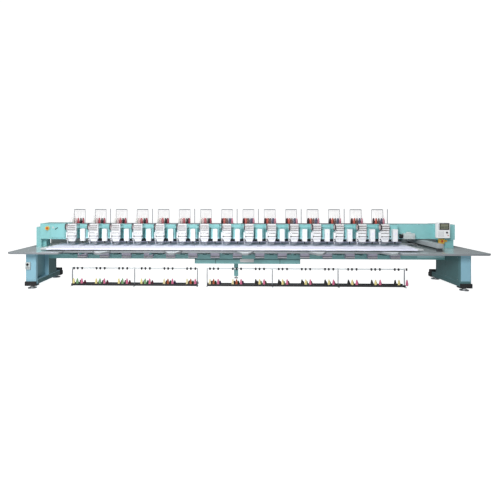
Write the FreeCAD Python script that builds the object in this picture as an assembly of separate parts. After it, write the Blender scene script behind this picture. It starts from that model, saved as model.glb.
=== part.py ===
import FreeCAD, Part
import os

# Multi-head mixed embroidery machine: at every interval one flat nine-needle head
# and one chenille head. Millimetres. X runs along the table to the operator's right,
# Y from the operator to the back, Z up. The origin is on the floor under the middle of the table.

V = FreeCAD.Vector
X_AXIS = V(1, 0, 0)
Y_AXIS = V(0, 1, 0)
Z_AXIS = V(0, 0, 1)
past_face = 1.0

# ---- driving dimensions: heads ----
heads = 15
head_pitch = 500.0
middle_head_x = -160.0
flat_offset = 235.0
needle_y = -40.0
needles = 9
needle_spacing = 12.0
needle_stroke = 30.7
needle_clear = 0.5
run_gap = 0.4

# The first and last chenille heads; the ends of the machine are measured from these.
heads_length = (heads - 1) * head_pitch
first_head = middle_head_x - heads_length / 2
last_head = middle_head_x + heads_length / 2

# ---- table ----
table_ends = 2900.0
table_length = heads_length + table_ends
table_depth = 1770.0
table_top = 815.0
table_thickness = 40.0
table_corner = 70.0
left_wing_end = first_head - 305.0
right_wing_start = last_head + 70.0
first_bay_x = first_head - 210.0
last_bay_x = last_head - 190.0
bay_depth = 265.0
tongue_first_x = first_head + 615.0
tongue_pitch = 3 * head_pitch + 15.0
tongues = 5
tongue_root = 380.0
tongue_tip = 120.0
slot_front = -100.0
slot_back = 155.0
seam = 1.0

# ---- end frames and feet ----
leg_width = 220.0
leg_outer_x = heads_length / 2 + 1185.0
frame_front = -600.0
front_column = 70.0
rear_column_start = 0.0
rear_column = 415.0
frame_back = 730.0
pad_height = 60.0
pad_radius = 90.0
pad_thickness = 18.0
foot_block = 25.0
foot_overhang = 10.0
base_height = 105.0
sheet_steel = 8.0

# ---- upper beam and housings ----
throat = 185.0
beam_height = 335.0
beam_front = 230.0
beam_depth = 300.0
beam_left = first_head - 410.0
beam_right = last_head + 990.0
housing_height = 350.0
left_housing_width = 590.0
left_housing_front = 0.0
right_housing_width = 375.0
right_housing_front = 50.0
housing_depth = 480.0
housing_wall = 5.0

# ---- lower beam ----
lower_beam_top = 664.0
lower_beam_height = 106.0
lower_beam_front = 20.0
lower_beam_depth = 300.0
bay_cover_left = -1120.0
bay_cover_right = 1250.0
bay_cover_drop = 108.0

# ---- heads ----
case_width = 190.0
case_depth = 68.0
case_front = -90.0
case_rise = 20.0
case_drop = 40.0
case_wall = 3.0
case_nose = 124.0
case_taper = 85.0
arm_width = 140.0
arm_front = -10.0
cast_wall = 8.0
chenille_arm_width = 190.0
chenille_arm_front = 20.0
chenille_width = 105.0
chenille_front = -75.0
chenille_top_drop = 91.0
chenille_bottom_drop = 31.0
bar_radius = 3.5
chenille_bar_radius = 7.0
reel_radius = 78.0
reel_width = 16.0

# ---- pantograph ----
frame_left = first_head - 690.0
frame_right = last_head + 350.0
frame_near = -640.0
frame_far = 530.0
bar_width = 60.0
bar_lift = 24.0
bar_height = 29.0
fabric_thickness = 2.0
fabric_gap = 3.0
plate_lift = 43.0
carriage_rail_y = 545.0
carriage_rail_depth = 40.0
left_rail_x = frame_left + 140.0
right_rail_x = frame_right + 355.0

# ---- drives ----
main_shaft_radius = 15.0
lower_shaft_radius = 14.0
shaft_fit = 0.05
degree_wheel_radius = 95.0

# ---- thread racks ----
upper_cone_radius = 24.0
upper_cone_height = 130.0
upper_cone_pitch = 60.0
rack_rise = 342.0
rack_y = 380.0
lower_rack_y = -270.0
lower_rack_height = 388.0
lower_cone_height = 132.0
lower_cone_radius = 27.0

# ---- derived places ----
half_table = table_length / 2
table_front = -table_depth / 2
table_back = table_depth / 2
table_under = table_top - table_thickness
bay_line = table_front + bay_depth
leg_inner_x = leg_outer_x - leg_width
base_bottom = pad_height + foot_block
base_top = base_bottom + base_height
beam_bottom = table_top + throat
beam_top = beam_bottom + beam_height
beam_back = beam_front + beam_depth
lower_beam_bottom = lower_beam_top - lower_beam_height
lower_beam_back = lower_beam_front + lower_beam_depth
case_back = case_front + case_depth
case_top = beam_top + case_rise
case_bottom = beam_bottom - case_drop
plate_top = table_top + plate_lift
fabric_bottom = plate_top + fabric_gap
fabric_top = fabric_bottom + fabric_thickness
bar_bottom = table_top + bar_lift
bar_top = bar_bottom + bar_height
shaft_y = beam_front + beam_depth / 2
shaft_z = beam_bottom + beam_height / 2
lower_shaft_y = lower_beam_front + lower_beam_depth / 2
lower_shaft_z = lower_beam_bottom + lower_beam_height / 2
chenille_xs = [first_head + i * head_pitch for i in range(heads)]
flat_xs = [x - flat_offset for x in chenille_xs]
active_needle = (needles - 1) / 2

os.makedirs("parts", exist_ok=True)


def box(x0, x1, y0, y1, z0, z1):
    """A block between two corners."""
    return Part.makeBox(x1 - x0, y1 - y0, z1 - z0, V(x0, y0, z0))


def rod(radius, x, y, z, length, axis=Z_AXIS):
    """A cylinder that starts at x, y, z and runs along axis."""
    return Part.makeCylinder(radius, length, V(x, y, z), axis)


def cone(radius, top_radius, x, y, z, height):
    return Part.makeCone(radius, top_radius, height, V(x, y, z), Z_AXIS)


def tube(outer, inner, x, y, z, length, axis=Z_AXIS):
    """A bush: a cylinder with a bore right through it."""
    over = axis * -1.0
    core = Part.makeCylinder(inner, length + 2, V(x, y, z) + over, axis)
    return rod(outer, x, y, z, length, axis).cut(core)


def tray(x0, x1, y0, y1, z0, z1, wall, open_side):
    """A sheet-metal box with one side open: open_side is one of x-, x+, y-, y+, z-, z+."""
    sides = {"x-": x0, "x+": x1, "y-": y0, "y+": y1, "z-": z0, "z+": z1}
    room = {}
    for side, place in sides.items():
        inward = 1 if side.endswith("-") else -1
        room[side] = place - inward * past_face if side == open_side else place + inward * wall
    return box(x0, x1, y0, y1, z0, z1).cut(box(*room.values()))


def plate(points, axis, thickness):
    """A flat plate: an outline of 3-D points, made thick along axis."""
    wire = Part.makePolygon([V(*p) for p in points] + [V(*points[0])])
    return Part.Face(wire).extrude(axis * thickness)


def rounded(solid, radius, edges):
    """The solid with a fillet on the edges that the test picks."""
    picked = [e for e in solid.Edges if edges(e)]
    return solid.makeFillet(radius, picked)


def upright(edge):
    """True for a straight vertical edge."""
    first, last = edge.Vertexes[0].Point, edge.Vertexes[-1].Point
    return abs(first.x - last.x) < 1e-6 and abs(first.y - last.y) < 1e-6 and abs(first.z - last.z) > 1e-6


def along_y(edge):
    """True for a straight edge that runs along Y."""
    first, last = edge.Vertexes[0].Point, edge.Vertexes[-1].Point
    return abs(first.x - last.x) < 1e-6 and abs(first.z - last.z) < 1e-6 and abs(first.y - last.y) > 1e-6


def joined(first, *others):
    """Several touching or overlapping solids as one."""
    return first.fuse(list(others)).removeSplitter()


def save(name, solids):
    """One STEP file per sub-part; what repeats is a group of separate solids."""
    shape = solids[0] if len(solids) == 1 else Part.makeCompound(solids)
    if not shape.isValid():
        print("not valid:", name)
    shape.exportStep("parts/" + name + ".step")


# ---- base ----

def end_frame(side):
    """One welded end frame, with its flat outer cover. side is -1 on the left and 1 on the right."""
    def span(a, b):
        return sorted((side * a, side * b))
    x0, x1 = span(leg_inner_x, leg_outer_x)
    web0, web1 = span(leg_inner_x + 95, leg_inner_x + 105)
    rear_start = rear_column_start
    rear_end = rear_start + rear_column
    base = box(x0, x1, frame_front, frame_back, base_bottom, base_top)
    front = box(x0, x1, frame_front, frame_front + front_column, base_top, table_under)
    web = box(web0, web1, frame_front + front_column, rear_start, base_top, table_under)
    open_side = "x+" if side > 0 else "x-"
    rear = tray(x0, x1, rear_start, rear_end, base_top, table_under, sheet_steel, open_side)
    shelf = box(x0, x1, frame_front + front_column, rear_start, table_under - 12, table_under)
    frame = joined(base, front, web, rear, shelf)
    c0, c1 = span(leg_outer_x, leg_outer_x + 3)
    cover = box(c0, c1, rear_start, rear_end, base_top, table_under)
    pieces = [frame, cover]
    if side > 0:
        p0, p1 = span(leg_inner_x, leg_inner_x + 4)
        inner_cover = box(p0, p1, frame_front + front_column, rear_start, base_top, table_under - 12)
        pieces.append(inner_cover)
    return pieces


save("left_end_frame", end_frame(-1))
save("right_end_frame", end_frame(1))

foot_width = leg_width + 2 * foot_overhang
front_pad_y = frame_front + 60
rear_pad_y = frame_back - 60
centre_leg_x = middle_head_x - 20.0
centre_leg_y = 650.0
centre_leg_width = 100.0
centre_pad_radius = 45.0


def foot(side, front):
    """A black foot block that wraps one end of a base beam."""
    centre = side * (leg_inner_x + leg_width / 2)
    x0 = centre - foot_width / 2
    x1 = centre + foot_width / 2
    if front:
        under = box(x0, x1, frame_front, frame_front + 125, pad_height, base_bottom)
        nose = box(x0, x1, frame_front - 35, frame_front, pad_height + 5, base_bottom + 72)
    else:
        under = box(x0, x1, frame_back - 125, frame_back, pad_height, base_bottom)
        nose = box(x0, x1, frame_back, frame_back + 35, pad_height + 5, base_bottom + 72)
    return joined(under, nose)


save("foot_blocks", [foot(side, front) for side in (-1, 1) for front in (True, False)])


def pad(x, y, radius, height):
    """A levelling foot: a disc with a threaded stem."""
    disc = rod(radius, x, y, 0, pad_thickness)
    stem = rod(radius * 0.3, x, y, pad_thickness, height - pad_thickness)
    return joined(disc, stem)


leg_centre_x = leg_inner_x + leg_width / 2
corners = [(side * leg_centre_x, y) for side in (-1, 1) for y in (front_pad_y, rear_pad_y)]
pads = [pad(x, y, pad_radius, pad_height) for x, y in corners]
pads.append(pad(centre_leg_x, centre_leg_y, centre_pad_radius, pad_height))
save("levelling_pads", pads)

# ---- lower beam, centre leg and the bearers under the table ----

lower_tube = box(-leg_inner_x, leg_inner_x, lower_beam_front, lower_beam_back,
                 lower_beam_bottom, lower_beam_top)
lower_room = box(-leg_inner_x - past_face, leg_inner_x + past_face,
                 lower_beam_front + sheet_steel, lower_beam_back - sheet_steel,
                 lower_beam_bottom + sheet_steel, lower_beam_top - sheet_steel)
cover_seams = [bay_cover_left, -655.0, 800.0, bay_cover_right]
cover_depth = 200.0
bay_covers = []
for left, right in zip(cover_seams[:-1], cover_seams[1:]):
    bay_covers.append(tray(left + 2, right - 2, lower_beam_front, lower_beam_front + cover_depth,
                           lower_beam_bottom - bay_cover_drop, lower_beam_bottom, 4.0, "y+"))
save("lower_beam", [lower_tube.cut(lower_room)] + bay_covers)

bearer_height = 40.0
bearer_half = 25.0
bearer_shift = 150.0
rear_rail_y = 600.0
rear_rail_depth = 100.0
bearer_bottom = table_under - bearer_height
bearer_ks = [0, 3, 6, 9, 12, heads - 1]
bearers = []
for k in [k for k in bearer_ks if k < heads]:
    x = chenille_xs[k] + bearer_shift
    left = x - bearer_half
    right = x + bearer_half
    rail = box(left, right, bay_line + 10, table_back - 25, bearer_bottom, table_under)
    post = box(left, right, lower_beam_front + 40, lower_beam_back, lower_beam_top, bearer_bottom)
    bearers.append(joined(rail, post))
save("table_bearers", bearers)

rear_rail_top = bearer_bottom
rear_rail = box(-leg_inner_x + 5, leg_inner_x - 5, rear_rail_y, rear_rail_y + rear_rail_depth,
                rear_rail_top - 60, rear_rail_top)
leg_post = box(centre_leg_x - centre_leg_width / 2, centre_leg_x + centre_leg_width / 2,
               centre_leg_y - 50, centre_leg_y + 50, pad_height, rear_rail_top - 60)
clamp_ring = tube(46.0, 30.0, centre_leg_x, centre_leg_y - 62, 420.0, 12.0, Y_AXIS)
save("centre_leg", [joined(rear_rail, leg_post), clamp_ring])

# ---- table ----


def wing(x_outer, x_inner):
    """One table wing, with its outer front and back corners cut off."""
    side = -1 if x_outer < x_inner else 1
    chamfer = x_outer - side * table_corner
    points = [(x_inner, table_front), (chamfer, table_front), (x_outer, table_front + table_corner),
              (x_outer, table_back - table_corner), (chamfer, table_back), (x_inner, table_back)]
    return plate([(x, y, table_under) for x, y in points], Z_AXIS, table_thickness)


save("table_wings", [wing(-half_table, left_wing_end), wing(half_table, right_wing_start)])

middle_left = left_wing_end + seam
middle_right = right_wing_start - seam
bed_half = 45.0
column_half = 30.0
bed_clear = 5.0
column_clear = 6.0
sections = [box(middle_left, middle_right, bay_line, slot_front, table_under, table_top),
            box(middle_left, middle_right, slot_back, table_back, table_under, table_top),
            box(middle_left, first_bay_x, table_front, bay_line, table_under, table_top),
            box(last_bay_x, middle_right, table_front, bay_line, table_under, table_top)]
for k in range(tongues):
    x = tongue_first_x + k * tongue_pitch
    outline = [(x - tongue_root / 2, bay_line), (x - tongue_tip / 2, table_front),
               (x + tongue_tip / 2, table_front), (x + tongue_root / 2, bay_line)]
    if x + tongue_root / 2 > last_bay_x:
        outline[-1] = (last_bay_x, bay_line)
    sections.append(plate([(px, py, table_under) for px, py in outline], Z_AXIS, table_thickness))
stops = [middle_left]
for flat, chenille in zip(flat_xs, chenille_xs):
    stops += [flat - bed_half - bed_clear, flat + bed_half + bed_clear]
    stops += [chenille - column_half - column_clear, chenille + column_half + column_clear]
stops.append(middle_right)
for left, right in zip(stops[0::2], stops[1::2]):
    sections.append(box(left, right, slot_front + seam, slot_back - seam, table_under, table_top))
save("table_middle", sections)

# ---- upper beam, towers and housings ----

beam_wall = 10.0
beam = box(beam_left, beam_right, beam_front, beam_back, beam_bottom, beam_top)
beam_room = box(beam_left - 1, beam_right + 1, beam_front + beam_wall, beam_back - beam_wall,
                beam_bottom + beam_wall, beam_top - beam_wall)
save("upper_beam", [beam.cut(beam_room)])

left_tower_width = 116.0
left_tower_height = 455.0
left_tower_front = 60.0
right_tower_front = 70.0
tower_back = 460.0
back_cover = 3.0
slim_column = 72.0
tower_right_0 = beam_right + 161.0
tower_right_1 = tower_right_0 + 193.0
left_housing_x0 = beam_left - left_housing_width
tower_outer_left = left_housing_x0 - left_tower_width
right_housing_x1 = beam_right + right_housing_width
left_tower = tray(tower_outer_left, left_housing_x0, left_tower_front, tower_back,
                  table_top, table_top + left_tower_height, sheet_steel, "y+")
left_column = box(left_housing_x0, left_housing_x0 + slim_column, 160, 360, table_top, beam_bottom)
right_tower = tray(tower_right_0, tower_right_1, right_tower_front, tower_back,
                   table_top, beam_bottom, sheet_steel, "y+")
left_tower_lid = box(tower_outer_left, left_housing_x0, tower_back, tower_back + back_cover,
                     table_top, table_top + left_tower_height)
right_tower_lid = box(tower_right_0, tower_right_1, tower_back, tower_back + back_cover, table_top, beam_bottom)
save("end_towers", [left_tower, left_column, right_tower, left_tower_lid, right_tower_lid])

housing_top = beam_bottom + housing_height
door_left = left_housing_x0 + 240.0
door_right = beam_left - 12.0
door_bottom = beam_bottom + 22.0
door_top = housing_top - 14.0
door_lap = 20.0
entry_gap = 20.0
left_housing_back = left_housing_front + housing_depth
left_shell = tray(left_housing_x0, beam_left, left_housing_front, left_housing_back,
                  beam_bottom, housing_top, housing_wall, "y+")
left_entry = rod(main_shaft_radius + entry_gap, beam_left - housing_wall - past_face, shaft_y, shaft_z,
                 housing_wall + 2 * past_face, X_AXIS)
door_way = box(door_left + door_lap, door_right - door_lap,
               left_housing_front - past_face, left_housing_front + housing_wall + past_face,
               door_bottom + door_lap, door_top - door_lap)
left_lid = box(left_housing_x0, beam_left, left_housing_back, left_housing_back + back_cover,
               beam_bottom, housing_top)
save("left_housing", [left_shell.cut(left_entry).cut(door_way), left_lid])
right_housing_back = right_housing_front + housing_depth
right_housing_top = housing_top - 10
right_shell = tray(beam_right, right_housing_x1, right_housing_front, right_housing_back,
                   beam_bottom, right_housing_top, housing_wall, "y+")
right_entry = rod(main_shaft_radius + entry_gap, beam_right - past_face, shaft_y, shaft_z,
                  housing_wall + 2 * past_face, X_AXIS)
right_lid = box(beam_right, right_housing_x1, right_housing_back, right_housing_back + back_cover,
                beam_bottom, right_housing_top)
save("right_housing", [right_shell.cut(right_entry), right_lid])

duct_front = 862.0
duct_half = heads_length / 2 + 360.0
duct_height = 150.0
duct_wall = 2.5
save("rear_duct", [tray(-duct_half, duct_half, duct_front, table_back,
                        table_top, table_top + duct_height, duct_wall, "z-")])

# ---- door, lever ----
door_thickness = 5.0
door_gap = 0.6
door_y1 = left_housing_front - door_gap
door_y0 = door_y1 - door_thickness
door = box(door_left, door_right, door_y0, door_y1, door_bottom, door_top)
knuckles = [rod(6.0, door_right + 1.0, door_y0 - 1.5, z, 40.0) for z in (door_bottom + 30, door_top - 70)]
save("housing_door", [joined(door, *knuckles)])

lever_x = door_left + 123.0
lever_z = 1230.0
lever_length = 62.0
lever_back = door_y0 - run_gap
lever_boss = rod(13.0, lever_x, lever_back - 16, lever_z, 16.0, Y_AXIS)
lever_grip = box(lever_x, lever_x + lever_length, lever_back - 16, lever_back - 6, lever_z - 7, lever_z + 7)
lever = joined(lever_boss, lever_grip)
lever.rotate(V(lever_x, 0, lever_z), Y_AXIS, -35)
save("housing_lever", [lever])

# ---- heads ----


def front_corner(y):
    """A test that picks the upright edges at the front."""
    return lambda edge: upright(edge) and abs(edge.Vertexes[0].Point.y - y) < 1e-6


def head_arm(x):
    """The cast arm of one flat head, hollow and open below."""
    half = arm_width / 2
    body = tray(x - half, x + half, arm_front, beam_front, beam_bottom + 10, beam_top - 5, cast_wall, "z-")
    return rounded(body, 6.0, front_corner(arm_front))


save("head_arms", [head_arm(x) for x in flat_xs])


def chenille_arm(x):
    """The casting behind one chenille head."""
    half = chenille_arm_width / 2
    body = tray(x - half, x + half, chenille_arm_front, beam_front, beam_bottom, beam_top, cast_wall, "z-")
    return rounded(body, 12.0, front_corner(chenille_arm_front))


save("chenille_arms", [chenille_arm(x) for x in chenille_xs])

chenille_top = beam_top - chenille_top_drop
chenille_bottom = beam_bottom - chenille_bottom_drop
chenille_crown = 24.0
cover_wall = 4.0


def chenille_cover(x):
    """The slim cover of one chenille head: a shell, open below, with a rounded crown."""
    half = chenille_width / 2
    shell = tray(x - half, x + half, chenille_front, chenille_arm_front,
                 chenille_bottom, chenille_top, cover_wall, "z-")
    return rounded(shell, chenille_crown, lambda edge: along_y(edge) and edge.BoundBox.ZMin > chenille_top - 1)


save("chenille_covers", [chenille_cover(x) for x in chenille_xs])


def case_outline(x, inset, bottom):
    """The front outline of a needle case, drawn in by inset, down to bottom."""
    half = case_width / 2 - inset
    nose = case_nose / 2 - inset
    shoulder = case_bottom + case_taper
    return [(x - half, case_top - inset), (x + half, case_top - inset), (x + half, shoulder),
            (x + nose, case_bottom), (x + nose, bottom), (x - nose, bottom), (x - nose, case_bottom),
            (x - half, shoulder)]


take_up_z = beam_bottom + 95.0
take_up_y = case_front + 40.0
take_up_room = 45.0
slot_half = needles * needle_spacing / 2 + 6


def needle_case(x):
    """One needle case: a shell, open below, with a slot for the take-up levers."""
    half = case_width / 2
    nose = case_nose / 2
    shoulder = case_bottom + case_taper
    outer = [(x - half, case_top), (x + half, case_top), (x + half, shoulder), (x + nose, case_bottom),
             (x - nose, case_bottom), (x - half, shoulder)]
    body = plate([(px, case_front, pz) for px, pz in outer], Y_AXIS, case_depth)
    inner = case_outline(x, case_wall, case_bottom - past_face)
    room = plate([(px, case_front + case_wall, pz) for px, pz in inner], Y_AXIS, case_depth - 2 * case_wall)
    slot = box(x - slot_half, x + slot_half, case_front - past_face, case_front + case_wall + past_face,
               take_up_z - take_up_room, take_up_z + take_up_room)
    return body.cut(room).cut(slot)


save("needle_cases", [needle_case(x) for x in flat_xs])

panel_thickness = 12.0
thread_rail_depth = 8.0
thread_rail_height = 7.0
panel_bottom = take_up_z + 60.0
panel_top = case_top - 4.0
panel_half = case_width / 2 - 4


def tension_panel(x):
    """The front plate that carries the thread tensions, with a guide rail above and below."""
    front = case_front - panel_thickness
    face = box(x - panel_half, x + panel_half, front, case_front, panel_bottom, panel_top)
    rails = [box(x - panel_half, x + panel_half, front - thread_rail_depth, front, z, z + thread_rail_height)
             for z in (panel_bottom + 4, panel_top - 14)]
    return joined(face, *rails)


save("tension_panels", [tension_panel(x) for x in flat_xs])

knob_radius = 7.5
knob_length = 18.0
knob_pitch = (case_width - 38.0) / (needles - 1)
knob_rows = 3
knob_row_pitch = 46.0
first_knob_row = panel_top - 38.0
knob_y = case_front - panel_thickness - knob_length
knobs = []
for x in flat_xs:
    for row in range(knob_rows):
        for k in range(needles):
            kx = x + (k - active_needle) * knob_pitch
            kz = first_knob_row - row * knob_row_pitch
            knobs.append(rod(knob_radius, kx, knob_y, kz, knob_length, Y_AXIS))
save("tension_knobs", knobs)

bar_top_z = case_top - 60.0
idle_lift = 22.0
needle_tip = fabric_top + needle_stroke + needle_clear


def needle_bar(x, tip):
    """A needle bar with its clamp and needle, its tip at the given height."""
    needle = cone(0.5, 1.2, x, needle_y, tip, 14.0)
    shank = rod(1.2, x, needle_y, tip + 14.0, 30.0)
    clamp = rod(4.6, x, needle_y, tip + 44.0, 14.0)
    bar = rod(bar_radius, x, needle_y, tip + 58.0, bar_top_z - tip - 58.0)
    return joined(needle, shank, clamp, bar)


holder_bottom = bar_top_z + 8.0
holder_height = 12.0
idle_bars = []
bar_holders = []
for x in flat_xs:
    for k in range(needles):
        if k != active_needle:
            idle_bars.append(needle_bar(x + (k - active_needle) * needle_spacing, needle_tip + idle_lift))
    bar_holders.append(box(x - slot_half, x + slot_half, needle_y - 8, case_back - case_wall,
                           holder_bottom, holder_bottom + holder_height))
save("needle_bars", idle_bars + bar_holders)
save("active_needle_bars", [needle_bar(x, needle_tip) for x in flat_xs])

foot_radius = 7.0
foot_hole = 3.0
foot_lift = 9.0
foot_bottom = fabric_top + run_gap + foot_lift


def presser_foot(x):
    """A presser foot: a ring round the needle, on a bracket that reaches up behind the bar."""
    ring = tube(foot_radius, foot_hole, x, needle_y, foot_bottom, 3.0)
    stalk = box(x - 2.5, x + 2.5, needle_y + foot_radius - 1.6, needle_y + foot_radius + 1.4,
                foot_bottom, case_bottom + 60)
    return joined(ring, stalk)


save("presser_feet", [presser_foot(x) for x in flat_xs])

lever_reach = 62.0
lever_rise = 19.0
take_up_thick = 2.4


def take_up(x):
    """One take-up lever with its eyelet, sloping up and out of the case."""
    start = x - take_up_thick / 2
    tip_y = take_up_y - lever_reach
    tip_z = take_up_z + lever_rise
    hub = rod(6.0, start, take_up_y, take_up_z, take_up_thick, X_AXIS)
    outline = [(take_up_y, take_up_z + 5), (take_up_y, take_up_z - 5), (tip_y, tip_z - 3), (tip_y, tip_z + 3)]
    blade = plate([(start, y, z) for y, z in outline], X_AXIS, take_up_thick)
    eye = rod(5.0, start, tip_y, tip_z, take_up_thick, X_AXIS)
    hole = rod(1.6, start - past_face, tip_y, tip_z, take_up_thick + 2 * past_face, X_AXIS)
    return joined(hub, blade, eye).cut(hole)


save("take_up_levers", [take_up(x) for x in flat_xs])

rail_z = chenille_top + 42.0
rail_height = 18.0
rail_overrun = 50.0
cases_left = flat_xs[0] - case_width / 2
cases_right = flat_xs[-1] + case_width / 2
save("case_rail", [box(cases_left - rail_overrun, cases_right + rail_overrun, case_back + run_gap, arm_front,
                       rail_z, rail_z + rail_height)])
change_bar_z = chenille_top + 14.0
change_bar_height = 14.0
change_bar_depth = 7.0
save("colour_change_bar", [box(cases_left, cases_right, case_back, case_back + change_bar_depth,
                               change_bar_z, change_bar_z + change_bar_height)])

chenille_needle = 14.0
nozzle_bottom = fabric_top + needle_stroke + needle_clear + chenille_needle
bar_in_cover = chenille_top - 70.0


def chenille_bar(x):
    """The hollow needle bar of one chenille head, with its dark nozzle and hook needle."""
    needle = cone(0.6, 1.5, x, needle_y, nozzle_bottom - chenille_needle, chenille_needle)
    nozzle = cone(4.0, 11.0, x, needle_y, nozzle_bottom, 34.0)
    collar = rod(14.0, x, needle_y, nozzle_bottom + 34, 26.0)
    bar = rod(chenille_bar_radius, x, needle_y, nozzle_bottom + 60, bar_in_cover - nozzle_bottom - 60)
    return joined(needle, nozzle, collar, bar)


save("chenille_needle_bars", [chenille_bar(x) for x in chenille_xs])

# ---- sequin devices ----
sequin_gap = 2.0
sequin_width = 30.0
sequin_x1 = -case_width / 2 - sequin_gap
sequin_x0 = sequin_x1 - sequin_width
sequin_y0 = -100.0
sequin_y1 = -46.0
sequin_top = take_up_z + 75.0
sequin_bottom = case_bottom + 5.0
chute_drop = 62.0
reel_y = -110.0
reel_z = beam_top - 45.0
axle_radius = 5.0


def sequin_unit(x):
    """The feeder body of one sequin device, with its reel post and axle."""
    feeder = box(x + sequin_x0, x + sequin_x1, sequin_y0, sequin_y1, sequin_bottom, sequin_top)
    chute_bottom = sequin_bottom - chute_drop
    side = [(sequin_y0, sequin_bottom), (sequin_y1, sequin_bottom),
            (needle_y - 12, chute_bottom), (needle_y - 20, chute_bottom)]
    chute = plate([(x + sequin_x1 - 12, y, z) for y, z in side], X_AXIS, 10.0)
    post = box(x + sequin_x1 - 8, x + sequin_x1, reel_y - 9, reel_y + 9, sequin_top, reel_z + 9)
    axle = rod(axle_radius, x + sequin_x0 - 4, reel_y, reel_z, -sequin_x0 + sequin_x1 + 4 - 8, X_AXIS)
    return joined(feeder, chute, post, axle)


save("sequin_units", [sequin_unit(x) for x in flat_xs])

reel_hub = 16.0
reel_rim = 11.0
reel_x1 = sequin_x1 - 8 - 1.0
reel_x0 = reel_x1 - reel_width


def sequin_reel(x):
    """One reel: a rim, a hub and four spokes."""
    start = x + reel_x0
    rim = tube(reel_radius, reel_radius - reel_rim, start, reel_y, reel_z, reel_width, X_AXIS)
    hub = tube(reel_hub, axle_radius + shaft_fit, start, reel_y, reel_z, reel_width, X_AXIS)
    spokes = []
    for turn in (45, 135, 225, 315):
        spoke = box(start + 6, start + 10, reel_y - 4, reel_y + 4,
                    reel_z + reel_hub - 2, reel_z + reel_radius - reel_rim + 3)
        spoke.rotate(V(start, reel_y, reel_z), X_AXIS, turn)
        spokes.append(spoke)
    return joined(rim, hub, *spokes)


save("sequin_reels", [sequin_reel(x) for x in flat_xs])

# ---- beds under the fabric ----
bed_front = needle_y - 50.0
bed_back = slot_back - 5.0
plate_thickness = 8.0
bed_top = plate_top - plate_thickness
bed_wall = 8.0
hook_radius = 26.0
hook_z = bed_top - bed_wall - 1.0 - hook_radius


def hook_bed(x):
    """The lower arm of one flat head: a casting, open behind, with a needle hole in its roof."""
    body = tray(x - bed_half, x + bed_half, bed_front, bed_back, lower_beam_top, bed_top, bed_wall, "y+")
    hole = rod(9.0, x, needle_y, bed_top - bed_wall - 1, bed_wall + 2)
    return body.cut(hole)


save("hook_beds", [hook_bed(x) for x in flat_xs])


def flat_plate(x):
    outer = box(x - bed_half + 4, x + bed_half - 4, bed_front + 4, bed_front + 104, bed_top, plate_top)
    return outer.cut(rod(3.0, x, needle_y, bed_top - 1, plate_thickness + 2))


def chenille_plate(x):
    return tube(column_half - 2, 4.0, x, needle_y, bed_top, plate_thickness)


save("needle_plates", [flat_plate(x) for x in flat_xs] + [chenille_plate(x) for x in chenille_xs])


def rotary_hook(x):
    """A rotary hook on its short shaft, with its bobbin recess at the front."""
    hook = rod(hook_radius, x, needle_y - 34, hook_z, 30.0, Y_AXIS)
    recess = rod(hook_radius - 8, x, needle_y - 35, hook_z, 12.0, Y_AXIS)
    shaft = rod(8.0, x, needle_y - 4, hook_z, bed_back - needle_y - 10, Y_AXIS)
    return joined(hook.cut(recess), shaft)


save("rotary_hooks", [rotary_hook(x) for x in flat_xs])

looper_half = 100.0
looper_top = lower_beam_top + 51.0
looper_bottom = lower_beam_bottom + 36.0
looper_front = needle_y - 50.0


def chenille_box(x):
    """The looper box of one chenille head, with the column that reaches up through the table."""
    body = tray(x - looper_half, x + looper_half, looper_front, lower_beam_front,
                looper_bottom, looper_top, cover_wall, "y+")
    column = box(x - column_half, x + column_half, needle_y - 30, needle_y + 30, looper_top, bed_top)
    bore = rod(12.0, x, needle_y, looper_top - 5, bed_top - looper_top + 6)
    return joined(body, column).cut(bore)


save("chenille_boxes", [chenille_box(x) for x in chenille_xs])

# ---- pantograph ----
rail_half = 25.0
rail_thickness = 9.0
rail_start = carriage_rail_y - 340.0
rail_end = duct_front - 5.0
y_rails = [box(x - rail_half, x + rail_half, rail_start, rail_end, table_top, table_top + rail_thickness)
           for x in (left_rail_x, right_rail_x)]
save("y_rails", y_rails)

carriage_half = 45.0
carriage_under = bar_bottom - 1.0
carriage_front = frame_far + 2.0
cross_top = bar_top - run_gap
cross_rail = box(left_rail_x - carriage_half, right_rail_x + carriage_half, carriage_rail_y,
                 carriage_rail_y + carriage_rail_depth, carriage_under, cross_top)
blocks = []
for x in (left_rail_x, right_rail_x):
    blocks.append(box(x - carriage_half, x + carriage_half, carriage_front,
                      carriage_rail_y + carriage_rail_depth + 12,
                      table_top + rail_thickness + run_gap, carriage_under))
save("y_carriages", [joined(cross_rail, *blocks)])

near_bar = box(frame_left, frame_right, frame_near, frame_near + bar_width, bar_bottom, bar_top)
far_bar = box(frame_left, frame_right, frame_far - bar_width, frame_far, bar_bottom, bar_top)
side_bars = [box(x, x + bar_width, frame_near + bar_width, frame_far - bar_width, bar_bottom, bar_top)
             for x in (frame_left, frame_right - bar_width)]
save("pantograph_frame", [near_bar, far_bar] + side_bars)

bracket_size = 120.0
bracket_plate = 6.0
shoe_width = 140.0
brackets = []
for x in (frame_left, frame_right - bracket_size):
    for y in (frame_near, frame_far - bracket_size):
        brackets.append(box(x, x + bracket_size, y, y + bracket_size, bar_top, bar_top + bracket_plate))
shoe_count = 6
shoe_pitch = (frame_right - frame_left - 4 * bracket_size) / (shoe_count - 1)
for k in range(shoe_count):
    x = frame_left + 2 * bracket_size + k * shoe_pitch
    brackets.append(box(x - shoe_width / 2, x + shoe_width / 2, frame_far - bar_width + 10,
                        carriage_rail_y + carriage_rail_depth, bar_top, bar_top + bracket_plate))
save("corner_brackets", brackets)

fabric = box(frame_left + bar_width, frame_right - bar_width, frame_near + bar_width, frame_far - bar_width,
             fabric_bottom, fabric_top)
save("fabric", [fabric])

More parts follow.
